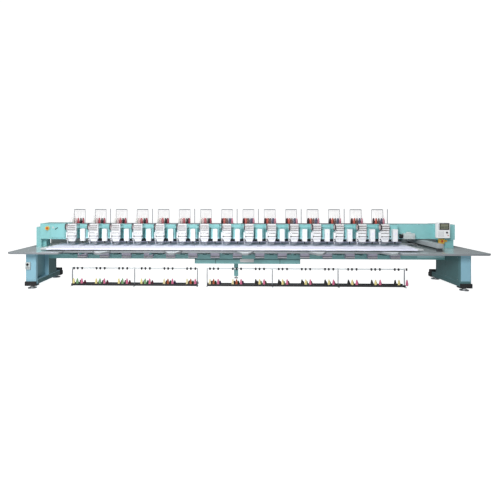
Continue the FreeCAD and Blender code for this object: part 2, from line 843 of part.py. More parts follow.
# ---- drive unit at the right, main motor and shafts ----
drive_x0 = last_head + 660.0
drive_x1 = drive_x0 + 130.0
drive_bottom = table_top + 70.0
drive_top = beam_bottom - 12.0
drive_front = -590.0
drive_cover = tray(drive_x0, drive_x1, drive_front, duct_front, drive_bottom, drive_top, 4.0, "z-")
front_stand = box(drive_x0, drive_x1, drive_front, drive_front + 60, table_top, drive_bottom)
back_stand = box(drive_x0, drive_x1, duct_front, table_back, table_top, drive_top)
save("x_drive_cover", [joined(drive_cover, front_stand, back_stand)])

motor_x0 = last_head + 260.0
motor_x1 = motor_x0 + 250.0
motor_y0 = 110.0
motor_z0 = beam_bottom + 10.0
motor_z1 = beam_bottom + 135.0
motor_axis_y = motor_y0 + 55.0
motor_axis_z = (motor_z0 + motor_z1) / 2
motor_shaft_radius = 10.0
stub_length = 78.0
gearbox = box(motor_x0, motor_x1, motor_y0, beam_front, motor_z0, motor_z1)
stub = rod(motor_shaft_radius, motor_x0 - stub_length, motor_axis_y, motor_axis_z, stub_length, X_AXIS)
save("drive_motor", [joined(gearbox, stub)])

pulley_width = 62.0
pulley_radius = 46.0
groove_depth = 10.0
groove_width = 22.0
pulley_x0 = motor_x0 - 8 - pulley_width
wheel = tube(pulley_radius, motor_shaft_radius + shaft_fit, pulley_x0, motor_axis_y, motor_axis_z,
             pulley_width, X_AXIS)
groove = tube(pulley_radius + past_face, pulley_radius - groove_depth,
              pulley_x0 + (pulley_width - groove_width) / 2, motor_axis_y, motor_axis_z, groove_width, X_AXIS)
save("motor_pulley", [wheel.cut(groove)])

main_start = left_housing_x0 + 150.0
main_end = beam_right - 40.0
main_shaft = rod(main_shaft_radius, main_start, shaft_y, shaft_z, main_end - main_start, X_AXIS)
degree_wheel = rod(degree_wheel_radius, main_start + 60, shaft_y, shaft_z, 18.0, X_AXIS)
wheel_hub = rod(34.0, main_start + 78, shaft_y, shaft_z, 24.0, X_AXIS)
save("main_shaft", [joined(main_shaft, degree_wheel, wheel_hub)])

lower_start = -leg_inner_x + 60.0
lower_end = leg_inner_x - 60.0
save("lower_shaft", [rod(lower_shaft_radius, lower_start, lower_shaft_y, lower_shaft_z,
                         lower_end - lower_start, X_AXIS)])

bearing_length = 30.0
bearings = []
bearing_count = 5


def bearing(x, y, z, radius, seat_z, half):
    """A bearing block that stands on seat_z, bored for a shaft at y, z."""
    block = box(x, x + bearing_length, y - half, y + half, seat_z, z + half)
    bore = rod(radius + shaft_fit, x - past_face, y, z, bearing_length + 2 * past_face, X_AXIS)
    return block.cut(bore)


for k in range(bearing_count):
    share = k / (bearing_count - 1)
    x = beam_left + 200 + share * (beam_right - beam_left - 500)
    bearings.append(bearing(x, shaft_y, shaft_z, main_shaft_radius, beam_bottom + beam_wall, 40.0))
    x = lower_start + 40 + share * (lower_end - lower_start - 120)
    bearings.append(bearing(x, lower_shaft_y, lower_shaft_z, lower_shaft_radius,
                            lower_beam_bottom + sheet_steel, 30.0))
save("shaft_bearings", bearings)

# ---- upper thread rack ----
board_thickness = 6.0
board_overhang = 170.0
board_y0 = beam_front + 10.0
board_top = beam_top + board_thickness
post_radius = 8.0
guide_bar_length = 270.0
first_half = heads // 2
boards = []
for group in (flat_xs[:first_half + 1], flat_xs[first_half + 1:]):
    if group:
        boards.append(box(group[0] - board_overhang, group[-1] + board_overhang,
                          board_y0, beam_back - 10, beam_top, board_top))
rack_top = beam_top + rack_rise
guide_y = rack_y + 15.0
post_ks = [k for k in (1, 3, 5, 7, 8, 10, 12, 14) if k < heads]
posts = [rod(post_radius, chenille_xs[k], guide_y, board_top, rack_top - board_top) for k in post_ks]
guide_bottom = rack_top - 22.0
guide_height = 10.0
guide_leg_half = 4.0


def thread_guide(x):
    """The bar over one head that its threads pass, on two slim legs."""
    half = guide_bar_length / 2
    bar = box(x - half, x + half, guide_y - 10, guide_y + 10, guide_bottom, guide_bottom + guide_height)
    legs = []
    for leg_x in (x - half + 5, x + half - 5):
        legs.append(box(leg_x - guide_leg_half, leg_x + guide_leg_half, guide_y - guide_leg_half,
                        guide_y + guide_leg_half, board_top, guide_bottom))
    return joined(bar, *legs)


save("rack_frames", boards + posts + [thread_guide(x) for x in flat_xs])

cone_tip_radius = 13.0
cones = []
for x in flat_xs:
    for row, count in ((0, 5), (1, 4)):
        for k in range(count):
            cx = x + (k - (count - 1) / 2) * upper_cone_pitch
            cy = rack_y - 70 + row * 55
            cones.append(cone(upper_cone_radius, cone_tip_radius, cx, cy, board_top, upper_cone_height))
save("upper_cones", cones)

# ---- floor-standing racks for the chenille yarns ----
rack_start = first_head - 150.0
second_rack_start = rack_start + 6 * head_pitch - 17.0
rack_ranges = [(rack_start, 3 * head_pitch - 115.0, 2), (second_rack_start, 3 * head_pitch - 74.0, 3)]
tray_half = 40.0
tray_bottom = 12.0
tray_height = 30.0
rack_post = 9.0
foot_length = 190.0
foot_half = 12.0
guide_rail_half = 12.0
guide_rail_height = 14.0
rack_pieces = []
rack_guides = []


def on_rack(x0, x1, half_depth, z0, z1):
    """A block centred on the rack's line."""
    return box(x0, x1, lower_rack_y - half_depth, lower_rack_y + half_depth, z0, z1)


for start, span, spans in rack_ranges:
    end = start + span * spans
    tray_bar = on_rack(start, end, tray_half, tray_bottom, tray_bottom + tray_height)
    for k in range(spans + 1):
        x = start + k * span
        post = on_rack(x - rack_post, x + rack_post, rack_post, tray_bottom, lower_rack_height)
        tray_bar = tray_bar.cut(post)
        foot_bar = on_rack(x - foot_half, x + foot_half, foot_length / 2, 0, tray_bottom)
        rack_pieces.append(joined(foot_bar, post))
    rack_pieces.append(tray_bar)
    rack_guides.append(on_rack(start - rack_post, end + rack_post, guide_rail_half,
                               lower_rack_height, lower_rack_height + guide_rail_height))
save("lower_racks", rack_pieces)

yarn_shift = -104.0
yarn_steps = (0.0, 82.0, 180.0)
back_shift = 40.0
front_cone_y = lower_rack_y - 46.0
back_cone_y = lower_rack_y + 40.0
back_cone_height = 79.2
tube_radius = 11.0
tube_y = lower_rack_y - 26.0
cones_stand = tray_bottom + tray_height
post_xs = [start + k * span for start, span, spans in rack_ranges for k in range(spans + 1)]
post_room = lower_cone_radius + rack_post + 1.0


def clear_of_posts(x):
    """The place nearest x, to the right, where a cone stands clear of the posts."""
    for post_x in post_xs:
        if abs(x - post_x) < post_room:
            x = post_x + post_room
    return x


yarn_cones = []
tubes = []
for x in chenille_xs:
    for step in yarn_steps:
        yx = clear_of_posts(x + yarn_shift + step)
        tubes.append(rod(tube_radius, yx, tube_y, lower_rack_height - 24, 46.0))
        yarn_cones.append(cone(lower_cone_radius, cone_tip_radius, yx, front_cone_y, cones_stand,
                               lower_cone_height))
        yarn_cones.append(cone(lower_cone_radius, cone_tip_radius, yx + back_shift, back_cone_y, cones_stand,
                               back_cone_height))
save("lower_cones", yarn_cones)
save("lower_guides", rack_guides + tubes)

# ---- controls ----
panel_x = beam_right + 25.0
panel_width = 288.0
panel_height = 338.0
panel_z0 = beam_bottom + 56.0
panel_front = -130.0
panel_back = -70.0
swivel_y = 15.0
tilt_y = -50.0
tilt_z = panel_z0 + panel_height / 2
lug = 12.0
barrel_half = 42.0
lug_half = 20.0
plate_y = right_housing_front - 6.0
backplate = box(panel_x - 40, panel_x + 40, plate_y, right_housing_front, tilt_z - 62, tilt_z + 62)
lugs = [box(panel_x - lug_half, panel_x + lug_half, swivel_y - lug_half, plate_y, z, z + lug)
        for z in (tilt_z + barrel_half, tilt_z - barrel_half - lug)]
save("panel_bracket", [joined(backplate, *lugs)])

barrel = rod(13.0, panel_x, swivel_y, tilt_z - barrel_half + run_gap, 2 * (barrel_half - run_gap))
link = box(panel_x - 9, panel_x + 9, tilt_y, swivel_y, tilt_z - 10, tilt_z + 10)
tilt_pin = rod(11.0, panel_x - lug_half, tilt_y, tilt_z, 2 * lug_half, X_AXIS)
save("panel_arm", [joined(barrel, link, tilt_pin)])

panel_body = box(panel_x - panel_width / 2, panel_x + panel_width / 2, panel_front, panel_back,
                 panel_z0, panel_z0 + panel_height)
panel_body = rounded(panel_body, 12.0, along_y)
ears = [box(x, x + 8, panel_back, tilt_y + 12, tilt_z - 14, tilt_z + 14)
        for x in (panel_x - lug_half - run_gap - 8, panel_x + lug_half + run_gap)]
screen_cut = box(panel_x - 76, panel_x + 124, panel_front - past_face, panel_front + 4,
                 panel_z0 + 188, panel_z0 + 322)
save("control_panel", [joined(panel_body, *ears).cut(screen_cut)])

knob_x = panel_x + 78.0
knob_z = panel_z0 + 122.0
panel_knob = rod(20.0, knob_x, panel_front - run_gap - 22, knob_z, 22.0, Y_AXIS)
save("panel_knob", [panel_knob])

stop_x = beam_right + 56.0
stop_z = table_top + 160.0
stop_size = 108.0
stem_bore = 13.0
bore_depth = 30.0
stop_y1 = right_housing_front - 1.0
stop_y0 = stop_y1 - 66.0
right_station = box(stop_x - stop_size / 2, stop_x + stop_size / 2, stop_y0, stop_y1,
                    stop_z - stop_size / 2, stop_z + stop_size / 2)
right_station = rounded(right_station, 8.0, along_y)
stop_strut = box(stop_x + stop_size / 2 - 10, tower_right_0 + 40, stop_y1, right_tower_front,
                 stop_z - 20, stop_z + 20)
right_bore = rod(stem_bore, stop_x, stop_y0 - past_face, stop_z, bore_depth + past_face, Y_AXIS)
left_stop_x = left_housing_x0 + 174.0
left_stop_z = 1248.0
left_stop_radius = 46.0
left_stop_depth = 34.0
left_stop_y0 = left_housing_front - left_stop_depth
left_station = rod(left_stop_radius, left_stop_x, left_stop_y0, left_stop_z, left_stop_depth, Y_AXIS)
left_bore = rod(stem_bore, left_stop_x, left_stop_y0 - past_face, left_stop_z, bore_depth + past_face, Y_AXIS)
save("stop_stations", [joined(right_station, stop_strut).cut(right_bore), left_station.cut(left_bore)])

stop_travel = 6.0


def stop_button(x, face_y, z):
    """A mushroom button: its head stands off the face by its travel."""
    head_back = face_y - stop_travel - 1.0
    head = rod(21.0, x, head_back - 16, z, 16.0, Y_AXIS)
    stem = rod(stem_bore - 2.0, x, head_back, z, stop_travel + 1.0 + 20.0, Y_AXIS)
    return joined(head, stem)


save("right_stop_button", [stop_button(stop_x, stop_y0, stop_z)])
save("left_stop_button", [stop_button(left_stop_x, left_stop_y0, left_stop_z)])

switch_x = -(leg_inner_x + leg_width / 2) - 50
switch_z = 500.0
switch_depth = 50.0
switch_box = box(switch_x - 50, switch_x + 50, frame_front - switch_depth, frame_front,
                 switch_z - 80, switch_z + 70)
save("leg_switch_box", [rounded(switch_box, 6.0, along_y)])
handle_y = frame_front - switch_depth - run_gap
disc = rod(26.0, switch_x, handle_y - 10, switch_z + 25, 10.0, Y_AXIS)
grip = box(switch_x - 7, switch_x + 7, handle_y - 30, handle_y - 10, switch_z - 1, switch_z + 51)
save("leg_switch", [joined(disc, grip)])
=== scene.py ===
import math

import bpy
from mathutils import Matrix, Vector


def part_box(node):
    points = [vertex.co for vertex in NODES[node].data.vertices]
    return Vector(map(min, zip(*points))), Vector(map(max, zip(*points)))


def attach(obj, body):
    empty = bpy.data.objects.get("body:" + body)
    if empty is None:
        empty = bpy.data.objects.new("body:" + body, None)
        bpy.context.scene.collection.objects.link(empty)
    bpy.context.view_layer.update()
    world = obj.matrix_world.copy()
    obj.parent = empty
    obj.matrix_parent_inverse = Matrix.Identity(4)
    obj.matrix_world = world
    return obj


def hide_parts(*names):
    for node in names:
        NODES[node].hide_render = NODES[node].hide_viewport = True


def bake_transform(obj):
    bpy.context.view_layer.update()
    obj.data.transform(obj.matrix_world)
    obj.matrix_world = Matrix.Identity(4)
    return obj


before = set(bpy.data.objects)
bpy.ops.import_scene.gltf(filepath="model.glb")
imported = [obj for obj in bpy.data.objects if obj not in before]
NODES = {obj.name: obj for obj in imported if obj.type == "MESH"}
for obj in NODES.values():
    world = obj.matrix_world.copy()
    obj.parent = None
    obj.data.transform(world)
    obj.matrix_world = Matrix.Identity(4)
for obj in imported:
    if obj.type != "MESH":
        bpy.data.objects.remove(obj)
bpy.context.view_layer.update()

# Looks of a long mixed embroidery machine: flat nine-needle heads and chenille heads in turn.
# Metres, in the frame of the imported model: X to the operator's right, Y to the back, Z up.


# ---------------------------------------------------------------- node groups

def wire(tree, kind, links, **settings):
    """Adds one node. links gives its inputs, each a value or another node's output."""
    node = tree.nodes.new(kind)
    for key, value in settings.items():
        setattr(node, key, value)
    for name, value in links.items():
        socket = node.inputs[name]
        if isinstance(value, bpy.types.NodeSocket):
            tree.links.new(value, socket)
        else:
            socket.default_value = value
    return node


def maths(tree, operation, first, second=0.0, third=0.0):
    """One Math node's result."""
    return wire(tree, "ShaderNodeMath", {0: first, 1: second, 2: third}, operation=operation).outputs[0]


def place(tree):
    """The point on the piece, in metres."""
    return tree.nodes.new("ShaderNodeTexCoord").outputs["Object"]


def noise(tree, vector, scale, detail=2.0, rough=0.5):
    """Cloudy noise at a point."""
    links = {"Vector": vector, "Scale": scale, "Detail": detail, "Roughness": rough}
    return wire(tree, "ShaderNodeTexNoise", links).outputs["Fac"]


def ramp(tree, value, low, high, to_low=0.0, to_high=1.0):
    """A clamped straight ramp from low..high to to_low..to_high."""
    links = {0: value, 1: low, 2: high, 3: to_low, 4: to_high}
    return wire(tree, "ShaderNodeMapRange", links, clamp=True).outputs[0]


def new_group(name, inputs, outputs):
    """An empty node group with named inputs, each with its default, and named outputs."""
    tree = bpy.data.node_groups.new(name, "ShaderNodeTree")
    for label, default in inputs.items():
        socket = tree.interface.new_socket(label, in_out="INPUT", socket_type="NodeSocketFloat")
        socket.default_value = default
    for label in outputs:
        tree.interface.new_socket(label, in_out="OUTPUT", socket_type="NodeSocketFloat")
    return tree, tree.nodes.new("NodeGroupInput").outputs, tree.nodes.new("NodeGroupOutput").inputs


def grain_group():
    """Orange peel of sprayed paint or the skin of moulded plastic, and a broad unevenness of tone."""
    tree, given, result = new_group("grain", {"Scale": 400.0, "Patch": 1.5}, ("Height", "Tone"))
    point = place(tree)
    tree.links.new(noise(tree, point, given["Scale"], 3.0), result["Height"])
    tree.links.new(noise(tree, point, given["Patch"], 4.0, 0.6), result["Tone"])
    return tree


def wear_group():
    """Mask of rubbed edges: where the rounded normal leaves the true one, broken up by noise."""
    tree, given, result = new_group("edge_wear", {"Radius": 0.0015, "Amount": 0.5}, ("Mask",))
    eased = wire(tree, "ShaderNodeBevel", {"Radius": given["Radius"]}, samples=4).outputs[0]
    true = tree.nodes.new("ShaderNodeNewGeometry").outputs["Normal"]
    turn = wire(tree, "ShaderNodeVectorMath", {0: eased, 1: true}, operation="DOT_PRODUCT").outputs["Value"]
    edge = ramp(tree, turn, 0.995, 0.93)
    broken = ramp(tree, noise(tree, place(tree), 28.0, 5.0, 0.65), 0.45, 0.62)
    tree.links.new(maths(tree, "MULTIPLY", maths(tree, "MULTIPLY", edge, broken), given["Amount"]),
                   result["Mask"])
    return tree


def dust_group():
    """Mask of lint and dust that settles on faces that look up."""
    tree, given, result = new_group("settled_dust", {"Amount": 0.3, "Scale": 6.0}, ("Mask",))
    normal = tree.nodes.new("ShaderNodeNewGeometry").outputs["Normal"]
    up = ramp(tree, wire(tree, "ShaderNodeSeparateXYZ", {0: normal}).outputs["Z"], 0.55, 0.98)
    patchy = ramp(tree, noise(tree, place(tree), given["Scale"], 6.0, 0.7), 0.35, 0.75)
    tree.links.new(maths(tree, "MULTIPLY", maths(tree, "MULTIPLY", up, patchy), given["Amount"]),
                   result["Mask"])
    return tree


def brushed_group():
    """Fine lines of drawn or ground metal. X, Y and Z say how close the lines lie along each axis."""
    tree, given, result = new_group("brushed", {"X": 6.0, "Y": 900.0, "Z": 900.0}, ("Height",))
    stretch = wire(tree, "ShaderNodeCombineXYZ", {axis: given[axis] for axis in "XYZ"}).outputs[0]
    lines = wire(tree, "ShaderNodeVectorMath", {0: place(tree), 1: stretch}, operation="MULTIPLY").outputs[0]
    tree.links.new(noise(tree, lines, 1.0, 3.0, 0.6), result["Height"])
    return tree


def weave_group():
    """Plain weave in the sheet's own UV map, in metres: warp over weft by turns."""
    tree, given, result = new_group("plain_weave", {"Threads": 900.0}, ("Height", "Slub"))
    cloth = wire(tree, "ShaderNodeUVMap", {}, uv_map="cloth").outputs[0]
    split = wire(tree, "ShaderNodeSeparateXYZ", {0: cloth}).outputs
    waves = []
    for axis in ("X", "Y"):
        turn = maths(tree, "MULTIPLY", maths(tree, "MULTIPLY", split[axis], given["Threads"]), math.pi)
        waves.append(maths(tree, "SINE", turn))
    over = maths(tree, "MULTIPLY", waves[0], waves[1])
    tree.links.new(ramp(tree, over, -1.0, 1.0), result["Height"])
    tree.links.new(noise(tree, cloth, 14.0, 4.0, 0.6), result["Slub"])
    return tree


def winding_group():
    """Ridges of thread wound round an upright cone, crossing at a slight angle."""
    tree, given, result = new_group("winding", {"Turns": 420.0}, ("Height",))
    point = place(tree)
    links = {"Vector": point, "Scale": given["Turns"], "Distortion": 2.5, "Detail": 2.0, "Detail Scale": 1.6}
    bands = wire(tree, "ShaderNodeTexWave", links, bands_direction="Z").outputs["Fac"]
    tree.links.new(bands, result["Height"])
    return tree


GRAIN = grain_group()
WEAR = wear_group()
DUST = dust_group()
BRUSHED = brushed_group()
WEAVE = weave_group()
WINDING = winding_group()


def use(tree, group, **values):
    """Places a node group in a material with its own values, and gives its outputs."""
    node = tree.nodes.new("ShaderNodeGroup")
    node.node_tree = group
    for name, value in values.items():
        node.inputs[name].default_value = value
    return node.outputs


def mixed(tree, share, first, second):
    """A colour that goes from first to second by share."""
    node = wire(tree, "ShaderNodeMix", {"Factor": share}, data_type="RGBA")
    for socket, colour in ((node.inputs[6], first), (node.inputs[7], second)):
        if isinstance(colour, bpy.types.NodeSocket):
            tree.links.new(colour, socket)
        else:
            socket.default_value = (*colour, 1.0)
    return node.outputs[2]


def blank(name, **sockets):
    """A material with one Principled shader, whose plain values are set on its own sockets."""
    material = bpy.data.materials.new(name)
    material.use_nodes = True
    tree = material.node_tree
    shader = tree.nodes["Principled BSDF"]
    for label, value in sockets.items():
        shader.inputs[label.replace("_", " ")].default_value = value
    return material, tree, shader


def bumped(tree, shader, height, distance, strength=1.0):
    """Raises the surface by a height field, distance metres at its full height."""
    bump = wire(tree, "ShaderNodeBump", {"Height": height, "Distance": distance, "Strength": strength})
    tree.links.new(bump.outputs[0], shader.inputs["Normal"])


def shades(colour, factor):
    """The colour made lighter or darker by a factor."""
    return tuple(min(1.0, c * factor) for c in colour)


LINT = (0.66, 0.66, 0.64)
LINT_ON_METAL = (0.6, 0.6, 0.58)


def coated(name, colour, rough, peel=0.00004, grain=420.0, spread=0.10, wear=0.5, under=(0.45, 0.50, 0.50),
           dust=0.25, **sockets):
    """Paint, enamel or moulded plastic: a skin with grain, uneven tone, rubbed edges and settled dust."""
    material, tree, shader = blank(name, **sockets)
    skin = use(tree, GRAIN, Scale=grain)
    body = mixed(tree, skin["Tone"], shades(colour, 1 - spread), shades(colour, 1 + spread))
    rubbed = use(tree, WEAR, Amount=wear)["Mask"]
    edged = mixed(tree, rubbed, body, under)
    lint = use(tree, DUST, Amount=dust)["Mask"]
    tree.links.new(mixed(tree, lint, edged, LINT), shader.inputs["Base Color"])
    uneven = maths(tree, "MULTIPLY_ADD", skin["Tone"], 0.12, rough - 0.06)
    tree.links.new(maths(tree, "MULTIPLY_ADD", lint, 0.5, uneven), shader.inputs["Roughness"])
    bumped(tree, shader, skin["Height"], peel)
    return material


def metal(name, colour, rough, stretch=(6.0, 900.0, 900.0), scratch=0.00003, spread=0.12, dust=0.1,
          metallic=1.0):
    """Bare metal with drawn or ground lines."""
    material, tree, shader = blank(name, Metallic=metallic)
    lines = use(tree, BRUSHED, X=stretch[0], Y=stretch[1], Z=stretch[2])["Height"]
    tone = use(tree, GRAIN, Patch=9.0)["Tone"]
    body = mixed(tree, tone, shades(colour, 1 - spread), shades(colour, 1 + spread))
    lint = use(tree, DUST, Amount=dust)["Mask"]
    tree.links.new(mixed(tree, lint, body, LINT_ON_METAL), shader.inputs["Base Color"])
    tree.links.new(maths(tree, "MULTIPLY_ADD", lines, 0.16, rough - 0.06), shader.inputs["Roughness"])
    bumped(tree, shader, lines, scratch)
    return material


def make_finishes():
    """Every finish of the machine, by its name."""
    made = {}
    made["teal_paint"] = coated("teal_paint", (0.26, 0.57, 0.58), 0.38, Coat_Weight=0.25, Coat_Roughness=0.2)
    made["frame_paint"] = coated("frame_paint", (0.26, 0.49, 0.60), 0.42, wear=0.7)
    # The right end frame's paint, darker than frame_paint: painted shade for the shaded right leg.
    made["painted_shade_frame"] = coated("painted_shade_frame", (0.085, 0.20, 0.22), 0.5)
    # A dark teal: painted shade on the inner sides of the legs, the table bearers and the hook beds; it also
    # draws the dark seams of the lower beam.
    made["painted_shade_and_seam_teal"] = coated("painted_shade_and_seam_teal", (0.06, 0.15, 0.16), 0.5)
    made["white_enamel"] = coated("white_enamel", (0.84, 0.85, 0.86), 0.28, spread=0.03, wear=0.25,
                                  under=(0.7, 0.7, 0.7), Coat_Weight=0.4, Coat_Roughness=0.12)
    made["mauve_enamel"] = coated("mauve_enamel", (0.60, 0.56, 0.70), 0.35, spread=0.06)
    made["laminate"] = coated("laminate", (0.50, 0.57, 0.59), 0.2, grain=1500.0, peel=0.00001, spread=0.05,
                              wear=0.1, dust=0.12, Coat_Weight=0.5, Coat_Roughness=0.08)
    made["edging"] = coated("edging", (0.24, 0.26, 0.28), 0.42, spread=0.15, wear=0.3, under=(0.4, 0.4, 0.4))
    made["cast_black"] = coated("cast_black", (0.014, 0.014, 0.016), 0.6, peel=0.0002, grain=180.0, wear=0.35,
                                under=(0.18, 0.17, 0.16))
    made["black_plastic"] = coated("black_plastic", (0.02, 0.02, 0.022), 0.45, wear=0.2,
                                   under=(0.16, 0.16, 0.16))
    made["brown_plastic"] = coated("brown_plastic", (0.06, 0.03, 0.03), 0.38, wear=0.2,
                                   under=(0.22, 0.15, 0.13))
    made["white_plastic"] = coated("white_plastic", (0.88, 0.89, 0.90), 0.35, grain=700.0, spread=0.03,
                                   wear=0.1)
    made["yellow_plastic"] = coated("yellow_plastic", (0.78, 0.45, 0.06), 0.35, spread=0.06, wear=0.2)
    made["red_plastic"] = coated("red_plastic", (0.60, 0.06, 0.02), 0.28, spread=0.06, wear=0.1,
                                 Coat_Weight=0.4)
    made["grey_paint"] = coated("grey_paint", (0.56, 0.62, 0.62), 0.4, spread=0.05)
    made["dark_grey"] = coated("dark_grey", (0.05, 0.055, 0.06), 0.5)
    made["galvanised"] = metal("galvanised", (0.56, 0.58, 0.60), 0.45, stretch=(40.0, 40.0, 40.0), spread=0.2)
    made["steel"] = metal("steel", (0.70, 0.71, 0.72), 0.25)
    made["aluminium"] = metal("aluminium", (0.84, 0.86, 0.88), 0.36, metallic=0.85)
    made["pale_teal"] = coated("pale_teal", (0.50, 0.78, 0.82), 0.34, spread=0.05, wear=0.3)
    made["pale_frame"] = coated("pale_frame", (0.60, 0.64, 0.66), 0.4, spread=0.06)
    made["pale_grey"] = coated("pale_grey", (0.52, 0.54, 0.56), 0.4, grain=700.0, spread=0.05, wear=0.1)
    made["mid_grey"] = coated("mid_grey", (0.33, 0.36, 0.37), 0.42, spread=0.08)
    made["rack_grey"] = coated("rack_grey", (0.20, 0.21, 0.24), 0.45, spread=0.1)
    made["blush_plastic"] = coated("blush_plastic", (0.55, 0.42, 0.42), 0.4, spread=0.06)
    # A teal darker than the frame paint: painted shade in the recess of the left leg.
    made["painted_recess_shade"] = coated("painted_recess_shade", (0.17, 0.33, 0.38), 0.45, spread=0.12)
    made["grey_thread"] = coated("grey_thread", (0.36, 0.28, 0.30), 0.6, spread=0.1, wear=0.0, dust=0.0,
                                 Sheen_Weight=0.3)
    made["plum_paint"] = coated("plum_paint", (0.06, 0.05, 0.11), 0.4)
    # Lilac for the sight windows of the chenille covers, and painted shade on the band in front of the rear
    # duct.
    made["lilac_window_and_painted_shade"] = coated("lilac_window_and_painted_shade", (0.72, 0.70, 0.90), 0.35, spread=0.04)
    made["dark_olive"] = coated("dark_olive", (0.10, 0.11, 0.08), 0.5, spread=0.03, wear=0.0, dust=0.0)
    made["pale_thread"] = coated("pale_thread", (0.62, 0.58, 0.60), 0.6, spread=0.06, wear=0.0, dust=0.0,
                                 Sheen_Weight=0.4)
    return made


def cloth_material():
    """White plain-weave cotton, with slubs, a faint sheen, a lilac tint of painted shade and darker lilac
    patches at random.
    """
    material, tree, shader = blank("cotton_cloth", Sheen_Weight=0.25, Sheen_Roughness=0.4, Roughness=0.82)
    weave = use(tree, WEAVE, Threads=900.0)
    # The lilac tint of the white cloth is painted shade, the bluish shade the cloth shows behind the heads.
    body = mixed(tree, weave["Slub"], (0.75, 0.76, 0.94), (0.85, 0.86, 0.98))
    darker_patches = ramp(tree, noise(tree, place(tree), 3.0, 5.0, 0.6), 0.45, 0.9, 0.0, 0.35)
    tree.links.new(mixed(tree, darker_patches, body, (0.60, 0.62, 0.76)), shader.inputs["Base Color"])
    bumped(tree, shader, weave["Height"], 0.0002, 0.6)
    return material


def yarn_material(name, turns, rough):
    """Thread or yarn wound on a cone, in the colour written on each piece."""
    material, tree, shader = blank(name, Roughness=rough, Sheen_Weight=0.35, Sheen_Roughness=0.35)
    dye_and_painted_shade = wire(tree, "ShaderNodeVertexColor", {}, layer_name="dye_and_painted_shade").outputs["Color"]
    turns_height = use(tree, WINDING, Turns=turns)["Height"]
    shadow = ramp(tree, turns_height, 0.0, 0.8, 0.45, 0.0)
    tree.links.new(mixed(tree, shadow, dye_and_painted_shade, (0.01, 0.008, 0.01)), shader.inputs["Base Color"])
    bumped(tree, shader, turns_height, 0.0009, 0.7)
    return material


def screen_material():
    """The olive panel of a liquid-crystal screen behind clear plastic."""
    material, tree, shader = blank("screen", Roughness=0.12, Coat_Weight=0.6, Coat_Roughness=0.05)
    tone = use(tree, GRAIN, Patch=18.0)["Tone"]
    tree.links.new(mixed(tree, tone, (0.19, 0.20, 0.14), (0.25, 0.26, 0.19)), shader.inputs["Base Color"])
    return material


FINISH = make_finishes()
CLOTH = cloth_material()
THREAD = yarn_material("wound_thread", 560.0, 0.5)
YARN = yarn_material("wound_yarn", 330.0, 0.75)
SCREEN = screen_material()

# The finish of each CAD node that stays in sight.
NODE_FINISH = {
    "frame_paint": ("left_end_frame",),
    # The right end frame wears a darker copy of the left one's paint: painted shade.
    "painted_shade_frame": ("right_end_frame",),
    "teal_paint": ("upper_beam", "end_towers", "left_housing", "right_housing", "housing_door", "head_arms",
                   "case_rail", "colour_change_bar", "chenille_arms", "lower_beam", "centre_leg"),
    # Table bearers and hook beds in a dark teal: painted shade under the table and the cloth.
    "painted_shade_and_seam_teal": ("table_bearers", "hook_beds"),
    # The rear duct is near-black: painted shade for the dark band seen under the beam.
    "dark_grey": ("rear_duct",),
    "white_enamel": ("chenille_covers", "needle_cases", "tension_panels", "corner_brackets"),
    "mauve_enamel": ("chenille_boxes",),
    "laminate": ("table_wings", "table_middle"),
    "cast_black": ("foot_blocks",),
    "black_plastic": ("chenille_needle_bars", "housing_lever", "leg_switch", "motor_pulley",
                      "sequin_reels"),
    "pale_frame": ("lower_guides",),
    "rack_grey": ("rack_frames", "lower_racks"),
    "white_plastic": ("sequin_units", "control_panel"),
    "yellow_plastic": ("stop_stations",),
    "grey_paint": ("drive_motor", "leg_switch_box"),
    "galvanised": ("levelling_pads", "shaft_bearings", "panel_arm", "panel_bracket"),
    "steel": ("needle_plates", "rotary_hooks", "y_rails", "needle_bars", "active_needle_bars",
              "presser_feet", "take_up_levers", "main_shaft", "lower_shaft"),
    "aluminium": ("y_carriages", "pantograph_frame"),
}


def dress(node, material):
    """Gives a CAD node its finish."""
    mesh = NODES[node].data
    mesh.materials.clear()
    mesh.materials.append(material)


for finish_name, wearers in NODE_FINISH.items():
    for wearer in wearers:
        dress(wearer, FINISH[finish_name])


# ---------------------------------------------------------------- studio

def soft_light(name, location, size, watts):
    """A large square lamp that faces the middle of the machine."""
    lamp = bpy.data.lights.new(name, "AREA")
    lamp.size = size
    lamp.energy = watts
    obj = bpy.data.objects.new(name, lamp)
    bpy.context.scene.collection.objects.link(obj)
    obj.location = location
    middle = Vector((0.0, 0.0, 0.8))
    obj.rotation_euler = (middle - obj.location).to_track_quat("-Z", "Y").to_euler()


# ---------------------------------------------------------------- modelling tools

FRONT, BACK = (0, -1, 0), (0, 1, 0)
UP, DOWN = (0, 0, 1), (0, 0, -1)
RIGHT, LEFT = (1, 0, 0), (-1, 0, 0)


def deselect():
    """Leaves edit mode, with nothing selected."""
    if bpy.context.object and bpy.context.object.mode != "OBJECT":
        bpy.ops.object.mode_set(mode="OBJECT")
    bpy.ops.object.select_all(action="DESELECT")


def choose(*objs):
    """Only these objects are selected, and the first is active."""
    deselect()
    for obj in objs:
        obj.select_set(True)
    bpy.context.view_layer.objects.active = objs[0]


def settle(obj):
    """Puts the place, turn and size of a piece into its mesh."""
    choose(obj)
    bpy.ops.object.transform_apply(location=True, rotation=True, scale=True)
    return obj


def apply(obj, kind, **settings):
    """One modifier, applied."""
    choose(obj)
    modifier = obj.modifiers.new(kind.lower(), kind)
    for key, value in settings.items():
        setattr(modifier, key, value)
    bpy.ops.object.modifier_apply(modifier=modifier.name)
    return obj


def ease(obj, width, segments=2):
    """Rounds every sharp edge of a piece."""
    return apply(obj, "BEVEL", width=width, segments=segments, limit_method="ANGLE", angle_limit=0.5)


